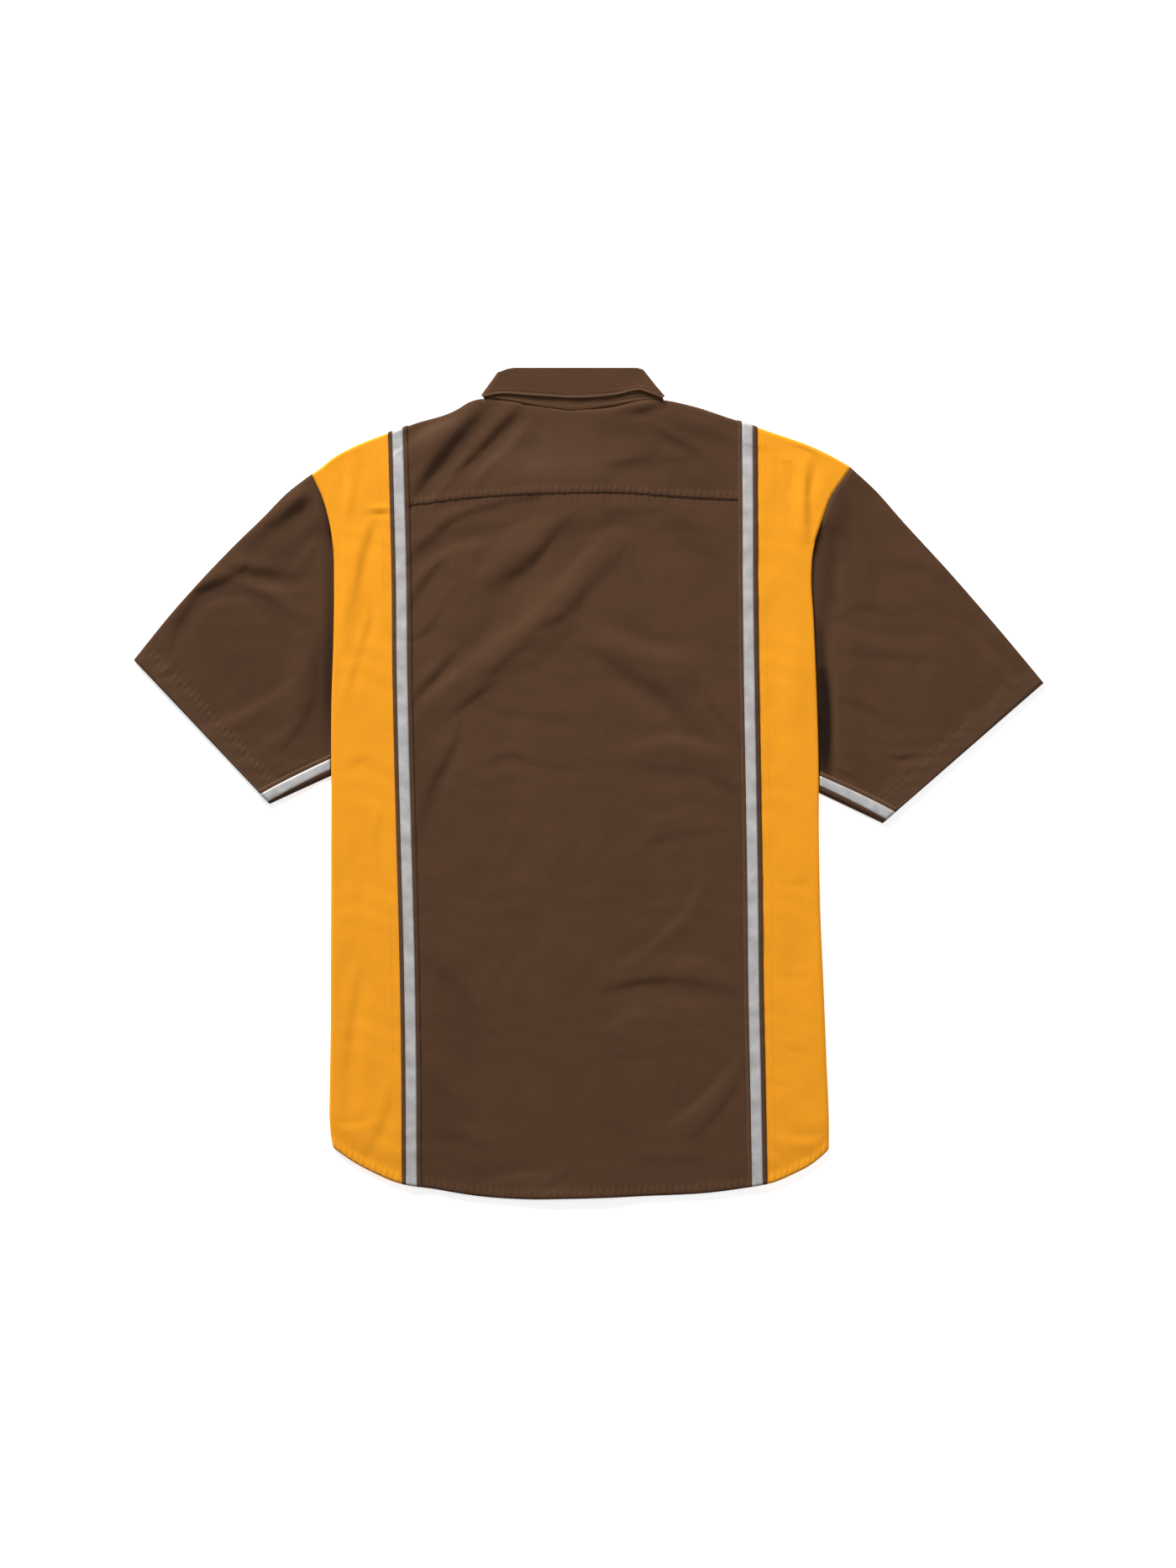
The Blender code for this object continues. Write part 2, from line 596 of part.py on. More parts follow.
def sleeve_plan(side, share, distance, from_top=False):
    """Point on a sleeve at a share of its length, a distance in from its lower or upper fold."""
    top_in, low_in, top_out, low_out = SLEEVE_CORNERS[side]
    low_x = between(low_in[0], low_out[0], share)
    low_y = between(low_in[1], low_out[1], share)
    run = np.array(top_out) - np.array(top_in)
    run = run / np.hypot(*run)
    bow = follow(SLEEVE_CROWN[side], share)
    top_x = between(top_in[0], top_out[0], share) - OUTWARD[side] * bow * run[1]
    top_y = between(top_in[1], top_out[1], share) + OUTWARD[side] * bow * run[0]
    width = np.hypot(top_x - low_x, top_y - low_y)
    across = distance / width
    across = np.where(from_top, 1.0 - across, across)
    seam_x = between(low_in[0], top_in[0], across)
    seam_y = between(low_in[1], top_in[1], across)
    to_armhole = armhole(side, seam_y) - seam_x
    x = between(low_x, top_x, across) + to_armhole * (1.0 - share) ** 2
    return x, between(low_y, top_y, across), width


def sleeve_height(side, x, y):
    """Upper face of a sleeve: low where it is tucked in, as high as the body along the open seam."""
    beyond = OUTWARD[side] * (x - side_edge(side, y))
    open_seam = ease(*OPEN_SEAM_START_Y, y)
    tucked = (1.0 - ease(*TUCK_SLOPE, beyond)) * (1.0 - open_seam)
    seam = (1.0 - ease(*OPEN_SEAM_SLOPE, beyond)) * open_seam
    height = SLEEVE_HEIGHT + (SLEEVE_LOW - SLEEVE_HEIGHT) * tucked
    height = height + (BACK_HEIGHT + ARMHOLE_RISE - SLEEVE_HEIGHT) * seam
    calm = ease(*SLEEVE_CALM, beyond)
    return np.maximum(height + folds_at(SLEEVE_FOLDS[side], x, y) * calm, SLEEVE_LOW)


def strip_bounds(side, share):
    """Distances of the strip's film and tape from the sleeve's lower fold."""
    film_low = between(*STRIP_LOW[side], share)
    film_high = between(*STRIP_HIGH[side], share)
    return SLEEVE_TAPE_LOW, film_low, film_high, film_high + SLEEVE_TAPE_MARGIN


def make_sleeves(material):
    """Flattened tubes, open at the hem, tucked under the body at the armhole."""
    roll = len(ROLL) - 1
    top_end = STRIP_COLUMNS + SLEEVE_TOP_COLUMNS
    under_start = top_end + roll
    under_end = under_start + SLEEVE_UNDER_COLUMNS
    columns = under_end + roll

    def sleeve_place(side):
        def place(column, row):
            share = row / SLEEVE_ROWS
            _, _, width = sleeve_plan(side, share, np.zeros(len(row)))
            low_x, low_y, _ = sleeve_plan(side, share, np.full(len(row), FOLD_SAMPLE))
            high_x, high_y, _ = sleeve_plan(side, share, np.full(len(row), FOLD_SAMPLE), True)
            low_radius = sleeve_height(side, low_x, low_y) / 2
            high_radius = sleeve_height(side, high_x, high_y) / 2
            marks = [low_radius] + [mark + 0.0 * share for mark in strip_bounds(side, share)]
            marks = np.array(marks)
            strip_column = np.clip(column, 0, STRIP_COLUMNS)
            along_top = marks[strip_column, np.arange(len(row))]
            top_share = np.clip((column - STRIP_COLUMNS) / SLEEVE_TOP_COLUMNS, 0.0, 1.0)
            distance = between(along_top, width - high_radius, top_share)
            high_angle = roll_angle(column - top_end)
            distance = distance + np.where(column > top_end, high_radius * np.cos(high_angle), 0.0)
            under_share = np.clip((column - under_start) / SLEEVE_UNDER_COLUMNS, 0.0, 1.0)
            under = between(width - high_radius, low_radius, under_share)
            distance = np.where(column > under_start, under, distance)
            low_angle = roll_angle(roll - (column - under_end))
            distance = np.where(column > under_end, low_radius * (1.0 - np.cos(low_angle)), distance)
            x, y, _ = sleeve_plan(side, share, distance)
            z = sleeve_height(side, x, y)
            z = np.where(column > top_end, high_radius * (1.0 + np.sin(high_angle)), z)
            z = np.where(column > under_start, 0.0, z)
            z = np.where(column > under_end, low_radius * (1.0 + np.sin(low_angle)), z)
            z = np.where((column == 0) | (column == columns), 2.0 * low_radius, z)
            z = np.where(column == top_end, 2.0 * high_radius, z)
            return x, y, z
        return place

    for side in OUTWARD:
        make_sheet(f"sleeve_{side}", material, columns, SLEEVE_ROWS, sleeve_place(side),
                   sample=(STRIP_COLUMNS + 2, 5), joined=True)


def strip_start(side, distance):
    """Share of the sleeve's length at which a strip comes out from beside the body."""
    low = np.zeros(len(distance))
    high = np.ones(len(distance))
    for _ in range(HALVINGS):
        middle = (low + high) / 2
        x, y, _ = sleeve_plan(side, middle, distance)
        inside = OUTWARD[side] * (x - side_edge(side, y)) < STRIP_BODY_GAP
        low = np.where(inside, middle, low)
        high = np.where(inside, high, middle)
    return high


def make_sleeve_strips(tape_material, film_material):
    """Tape and reflective strip across each sleeve, along its lower fold."""
    tape_lift = STRIP_REST + TAPE
    film_lift = tape_lift + GAP + FILM

    def strip(name, side, material, first, last, lift, wall):
        def place(column, row):
            near_body = np.array(strip_bounds(side, STRIP_NEAR_SHARE))
            start = strip_start(side, near_body[column + first])
            share = between(start, 1.0, row / STRIP_ROWS)
            marks = np.array([mark + np.zeros(len(row)) for mark in strip_bounds(side, share)])
            x, y, _ = sleeve_plan(side, share, marks[column + first, np.arange(len(row))])
            return x, y, sleeve_height(side, x, y) + lift
        make_sheet(name, material, last - first, STRIP_ROWS, place, wall)

    for side in OUTWARD:
        strip(f"sleeve_tape_{side}", side, tape_material, 0, 3, tape_lift, TAPE)
        strip(f"sleeve_reflective_{side}", side, film_material, 1, 2, film_lift, FILM)


def front_side_x(side, y):
    """Outer edge of a front: the side seam, then the armhole seam above the underarm."""
    out = OUTWARD[side]
    underarm = UNDERARM_Y[side]
    side_seam = side_edge(side, y) - out * (side_radius(side, y) + SIDE_TURN + FRONT_SEAM_GAP)
    arm_seam = armhole(side, y) - out * FRONT_SEAM_GAP
    return between(side_seam, arm_seam, ease(*SIDE_SEAM_END, y - underarm))


def front_top_y(x):
    """Top of a front: neckline, then the shoulder seam."""
    from_centre = np.abs(x - PLACKET_X)
    shoulder = follow(SHOULDER_AND_NECK, x) - shoulder_radius(x) - SHOULDER_TURN - SHOULDER_SEAM_GAP
    neckline = follow(FRONT_NECKLINE, from_centre)
    return np.where(from_centre > FRONT_NECKLINE[-1][0] + NECKLINE_MARGIN, shoulder, neckline)


def make_fronts(material):
    """Plain fronts, lying on the surface; the right one passes inside the placket."""
    def front_place(side):
        out = OUTWARD[side]
        near, raised, level_from = FRONT_NEAR[side]
        near_offsets = np.array(near)

        def place(column, row):
            near_column = np.clip(column, 0, len(near) - 1)
            share = np.clip((column - near_column) / FRONT_SIDE_COLUMNS, 0.0, 1.0)
            y = np.zeros(len(row))
            for _ in range(SETTLE):
                start = PLACKET_X + out * near_offsets[near_column]
                x = between(start, front_side_x(side, y), share)
                y = between(follow(HEM, x) + FRONT_HEM_SHORTER, front_top_y(x), row / FRONT_ROWS)
            from_placket = out * (x - PLACKET_X)
            rise = raised * (1.0 - ease(PLACKET_HALF + 1.0, level_from, from_placket))
            return x, y, np.maximum(rise, wing_rise(x, y))
        return place

    for side in OUTWARD:
        columns = len(FRONT_NEAR[side][0]) - 1 + FRONT_SIDE_COLUMNS
        make_sheet(f"front_{side}", material, columns, FRONT_ROWS, front_place(side), sample=(-1, 0))


def make_placket(material):
    """Band down the closed front, outside the buttons' side of the right front."""
    def place(column, row):
        x = between(PLACKET_X - PLACKET_HALF, PLACKET_X + PLACKET_HALF, column / 2)
        y = between(follow(HEM, x) + FRONT_HEM_SHORTER, PLACKET_TOP, row / FRONT_ROWS)
        return x, y, np.full(len(row), BUTTON_THICK + GAP)

    make_sheet("placket", material, 2, FRONT_ROWS, place, sample=(-1, 0))


def make_buttons(material):
    for number in range(1, BUTTON_COUNT + 1):
        bm = bmesh.new()
        bmesh.ops.create_cone(bm, cap_ends=True, segments=BUTTON_SEGMENTS, depth=BUTTON_THICK * MM,
                              radius1=BUTTON_RADIUS * MM, radius2=BUTTON_RADIUS * MM)
        rims = [edge for edge in bm.edges if edge.verts[0].co.z * edge.verts[1].co.z > 0.0]
        bmesh.ops.bevel(bm, geom=rims, offset=BUTTON_BEVEL * MM, segments=1, affect="EDGES")
        middle = (PLACKET_X * MM, (BUTTON_TOP_Y - (number - 1) * BUTTON_PITCH) * MM, BUTTON_THICK / 2 * MM)
        bmesh.ops.translate(bm, verts=bm.verts[:], vec=middle)
        finish_object(f"button_{number}", bm, material)


def half_collar(back, side, front, top, bottom):
    """Rows across the collar's left half, from front end to centre back: two plan points, out, height.

    out is the level direction away from the collar's middle, and angle turns from it to up.
    """
    side_fold = np.array(side[:2])
    side_edge_point = np.array(side[2:])
    along = side_fold - side_edge_point
    along = along / np.hypot(*along)
    inward = np.array((along[1], -along[0]))
    radius = (top - bottom) / 2
    half = [(np.array(row[:2]), np.array(row[2:]), -inward, -90.0, bottom) for row in reversed(front)]
    for angle in reversed(ROLL):
        shift = inward * radius * (1.0 - math.cos(math.radians(angle)))
        slant = along * np.hypot(*shift) * SIDE_SLANT * (angle > 0)
        height = bottom + radius * (1.0 + math.sin(math.radians(angle)))
        half.append((side_fold + shift + slant, side_edge_point + shift, -inward, angle, height))
    return half + [(np.array(row[:2]), np.array(row[2:]), -inward, 90.0, top) for row in reversed(back)]


def collar_stations(back, sides, front, top, bottom):
    """Rows across the whole collar, from its left front end to its right one."""
    flip = np.array((-1.0, 1.0))
    shift = np.array((2 * COLLAR_X, 0.0))
    right_side = sides["right"]
    flipped_side = (*(np.array(right_side[:2]) * flip + shift), *(np.array(right_side[2:]) * flip + shift))
    left = half_collar(back, sides["left"], front, top, bottom)
    right = half_collar(back, flipped_side, front, top, bottom)
    mirrored = []
    for fold, edge, out, angle, height in reversed(right[:-1]):
        mirrored.append((fold * flip + shift, edge * flip + shift, out * flip, angle, height))
    return left + mirrored


def make_collar(material):
    """Stand, and the leaf folded down over it, each one strip round the neck."""
    leaf_top = COLLAR_STAND_TOP + CLOTH + GAP
    leaf = collar_stations(LEAF_BACK, LEAF_SIDE, LEAF_FRONT, leaf_top, 0.0)
    stand = collar_stations(STAND_BACK, STAND_SIDE, STAND_FRONT, COLLAR_STAND_TOP, CLOTH + GAP)
    leaf_curl = [(LEAF_CURL * ahead, LEAF_CURL * down) for ahead, down in LEAF_CURL_STEPS]

    def strip_place(stations, marks, curls, lift):
        def place(column, row):
            points = []
            for cross, station in zip(column, row):
                fold, edge, out, angle, height = stations[station]
                length = np.hypot(*(fold - edge))
                along = (fold - edge) / length
                reach = length - curls[-1][0]
                mark = marks[min(cross, len(marks) - 1)]
                ahead, down = curls[max(cross - len(marks) + 1, 0)]
                raised = lift * (1.0 - mark) * max(math.sin(math.radians(angle)), 0.0)
                level = out * math.cos(math.radians(angle))
                plan = edge + along * (reach * mark + ahead) - level * down
                points.append((*plan, height + raised - down * math.sin(math.radians(angle))))
            return np.array(points).T
        return place

    columns = len(LEAF_MARKS) + len(leaf_curl) - 2
    middle = len(leaf) // 2
    make_sheet("collar_leaf", material, columns, len(leaf) - 1,
               strip_place(leaf, LEAF_MARKS, leaf_curl, LEAF_EDGE_LIFT), sample=(0, middle))
    make_sheet("collar_stand", material, len(STAND_MARKS) - 1, len(stand) - 1,
               strip_place(stand, STAND_MARKS, ((0.0, 0.0),), 0.0), sample=(0, middle))


def main():
    for piece in list(bpy.data.objects):
        bpy.data.objects.remove(piece, do_unlink=True)
    brown = make_material("brown_cloth", BROWN, 0.9)
    yellow = make_material("yellow_cloth", YELLOW, 0.88)
    tape = make_material("brown_tape", BROWN, 0.85)
    film = make_material("reflective_film", SILVER, 0.45)
    horn = make_material("button_horn", HORN, 0.4)
    make_back_panel(brown)
    make_back_yoke(brown)
    make_side_panels(yellow)
    make_tapes(tape, film)
    make_sleeves(brown)
    make_sleeve_strips(tape, film)
    make_fronts(brown)
    make_placket(brown)
    make_buttons(horn)
    make_collar(brown)


main()
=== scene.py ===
import math

import bmesh
import bpy
import numpy as np
from mathutils import Matrix, Vector


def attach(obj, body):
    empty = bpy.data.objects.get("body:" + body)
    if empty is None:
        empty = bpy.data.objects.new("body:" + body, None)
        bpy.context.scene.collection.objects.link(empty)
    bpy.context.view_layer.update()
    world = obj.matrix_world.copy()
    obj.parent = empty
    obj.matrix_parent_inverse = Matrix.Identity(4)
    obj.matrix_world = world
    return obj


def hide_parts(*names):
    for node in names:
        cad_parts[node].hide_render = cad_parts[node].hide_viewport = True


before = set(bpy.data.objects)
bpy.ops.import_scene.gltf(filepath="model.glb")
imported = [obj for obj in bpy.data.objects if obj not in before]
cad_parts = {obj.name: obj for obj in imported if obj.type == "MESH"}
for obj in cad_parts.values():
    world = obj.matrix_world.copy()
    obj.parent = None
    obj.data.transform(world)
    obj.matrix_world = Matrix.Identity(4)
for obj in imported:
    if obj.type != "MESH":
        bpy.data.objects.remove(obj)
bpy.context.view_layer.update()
MM = 0.001

# ---------------------------------------------------------------- camera and light
# The shirt is seen from straight above, framed as in the photograph. A soft light comes
# in low from the top left, with a weaker one opposite, over a bright white ground.
PHOTO_PIXEL = 0.82 * MM
PHOTO_HEIGHT = 1867
CAMERA_HEIGHT = 3.2
SENSOR = 36.0
WHITE = (1.0, 1.0, 1.0, 1.0)


def add_object(name, data):
    """A new object in the scene, unturned, at the origin."""
    added = bpy.data.objects.new(name, data)
    bpy.context.scene.collection.objects.link(added)
    return added


def hang_light(name, place, size, watts):
    """A square softbox that faces the middle of the shirt."""
    light_data = bpy.data.lights.new(name, "AREA")
    light_data.size = size
    light_data.energy = watts
    light = add_object(name, light_data)
    light.location = place
    light.rotation_euler = Vector(place).to_track_quat("Z", "Y").to_euler()


def new_material(name):
    """A node material, with its node tree and its shader."""
    material = bpy.data.materials.new(name)
    material.use_nodes = True
    return material, material.node_tree, material.node_tree.nodes["Principled BSDF"]


def set_inputs(tree, node, inputs):
    """Gives each named input its value, or links it to the output that feeds it."""
    for socket_name, value in inputs.items():
        if isinstance(value, bpy.types.NodeSocket):
            tree.links.new(value, node.inputs[socket_name])
        else:
            node.inputs[socket_name].default_value = value


camera_data = bpy.data.cameras.new("camera")
camera_data.sensor_width = SENSOR
camera_data.lens = SENSOR * CAMERA_HEIGHT / (PHOTO_HEIGHT * PHOTO_PIXEL)
camera = add_object("camera", camera_data)
camera.location = (0.0, 0.0, CAMERA_HEIGHT)
bpy.context.scene.camera = camera
bpy.context.scene.view_settings.view_transform = "Standard"

hang_light("key_light", (-2.0, 4.6, 2.15), 1.8, 510.0)
hang_light("fill_light", (2.3, -0.4, 2.5), 2.4, 26.0)
world = bpy.data.worlds.new("studio")
world.use_nodes = True
set_inputs(world.node_tree, world.node_tree.nodes["Background"], {"Color": WHITE, "Strength": 0.22})
bpy.context.scene.world = world

floor_mesh = bpy.data.meshes.new("floor")
floor_form = bmesh.new()
bmesh.ops.create_grid(floor_form, x_segments=1, y_segments=1, size=4.0)
floor_form.to_mesh(floor_mesh)
floor_form.free()
floor_paper, floor_tree, floor_shader = new_material("floor_paper")
set_inputs(floor_tree, floor_shader, {
    "Base Color": (0.93, 0.93, 0.93, 1.0), "Roughness": 0.9,
    "Emission Color": WHITE, "Emission Strength": 0.6,
})
floor_mesh.materials.append(floor_paper)
floor = add_object("floor", floor_mesh)

# ---------------------------------------------------------------- centre back
# One large piece of brown twill between the two tapes, cut straight and left full enough
# to crease. It is narrow-hemmed along the curved tail and lapped under the yoke at its top.
CLOTH = 1.0
CLOTH_SHOWN = 0.5
GAP = 0.3
SEAM_GAP = 0.15
BACK_HEIGHT = 5.2
PLACKET_RISE = 0.9
NECK_RISE = 0.2
ARMHOLE_RISE = 0.6
HEM_SINK = 1.2
YOKE_STEP = CLOTH + GAP
YOKE_LAP = 12.0
FRONT_RISE = 3.6
PLACKET_X = -12.0
PLACKET_HALF = 17.0
COLLAR_X = -13.2
OUTWARD = {"left": -1.0, "right": 1.0}
UNDERARM_Y = {"left": 6.6, "right": -10.7}
# Where a rise starts and ends: across from the middle, along y, or in from an edge
WING_SLOPE = (112.0, 136.0)
WING_START_Y = (222.0, 246.0)
FRONT_SLOPE = (PLACKET_HALF + 3.0, 52.0)
LAP_START = (-42.0, -22.0)
LAP_END = (16.0, 40.0)
PLACKET_SLOPE = (20.0, 60.0)
PLACKET_FADE_Y = (300.0, 345.0)
NECK_SLOPE = (90.0, 130.0)
NECK_START_Y = (330.0, 362.0)
OVER_SLEEVE = (16.0, 46.0)
OVER_SLEEVE_START = (-120.0, -60.0)
OVER_SLEEVE_LEAST = 5.7
HEM_SLOPE = (0.0, 35.0)
HEM_SINK_ACROSS = (20.0, 70.0)
SIDE_CALM = (0.0, 12.0)
PANEL_DIP = (-9.0, -0.5)
HEM_DEPTH = 8.0
HEM_STITCH = HEM_DEPTH - 1.4
HEM_RIDGE = 0.55
HEM_PUCKERS_AT = 5.0
# Pitch and seed of a row of puckers
HEM_PUCKER = (12.5, 0.7)
YOKE_PUCKER = (13.0, 2.1)
# Strength and width of a bell
HEM_GROOVE = (-0.45, 0.9)
HEM_PUCKERS = (0.3, 7.0)
PANEL_HEM_WORN = (0.55, 1.6)
PANEL_PUCKERS = (0.35, 6.0)
PANEL_TOP_GATHER = (0.5, 4.0)
PANEL_HEM_GATHER = 0.6
CREASE_STEPS = 11
CREASE_END = 0.08
DROP_GAIN = 5.0
SOFTENING = 0.16
SETTLE = 12
HEM = (  # x, y
    (-256.0, -349.0), (-249.0, -354.2), (-230.0, -367.6), (-209.5, -378.8), (-189.0, -387.8),
    (-148.0, -395.2), (-107.0, -401.8), (-66.0, -404.8), (-25.0, -404.6), (57.0, -401.8),
    (118.5, -398.5), (159.5, -392.8), (180.0, -388.8), (200.5, -380.2), (221.0, -368.6),
    (234.5, -356.4), (240.0, -350.0),
)
YOKE_EDGE = (  # x, y
    (-176.0, 270.4), (-115.2, 277.7), (-61.9, 281.3), (-26.2, 282.5), (41.4, 282.5),
    (80.4, 279.6), (150.0, 276.2),
)
SIDE_EDGE = {  # y, x
    "left": (
        (-360.0, -247.4), (-345.0, -250.6), (-330.0, -252.0), (-300.0, -252.0),
        (-240.0, -251.1), (-170.0, -250.9), (-22.0, -250.3), (84.0, -250.0),
        (140.0, -248.2), (190.0, -247.6), (232.0, -248.6), (256.7, -252.4), (280.0, -259.2), (302.2, -269.4),
    ),
    "right": (
        (-360.0, 235.0), (-333.7, 235.0), (-268.0, 232.5), (-194.3, 229.6), (-128.7, 226.7),
        (-55.0, 225.1), (27.0, 224.8), (84.5, 223.2), (158.0, 220.2), (207.5, 218.0),
        (232.0, 220.2), (256.7, 228.0), (281.3, 237.4), (307.5, 255.8),
    ),
}
TAPE_LINE = {  # y, x
    "left": (
        (-391.0, -172.0), (-280.0, -172.5), (-170.0, -174.2), (-60.0, -177.1), (40.0, -179.7),
        (110.0, -181.1), (200.0, -181.9), (273.0, -183.6), (345.0, -185.6),
    ),
    "right": (
        (-391.0, 165.3), (-300.0, 163.6), (-200.0, 161.6), (-100.0, 160.6), (0.0, 159.0),
        (100.0, 157.3), (200.0, 156.1), (273.0, 155.9), (350.0, 155.4),
    ),
}
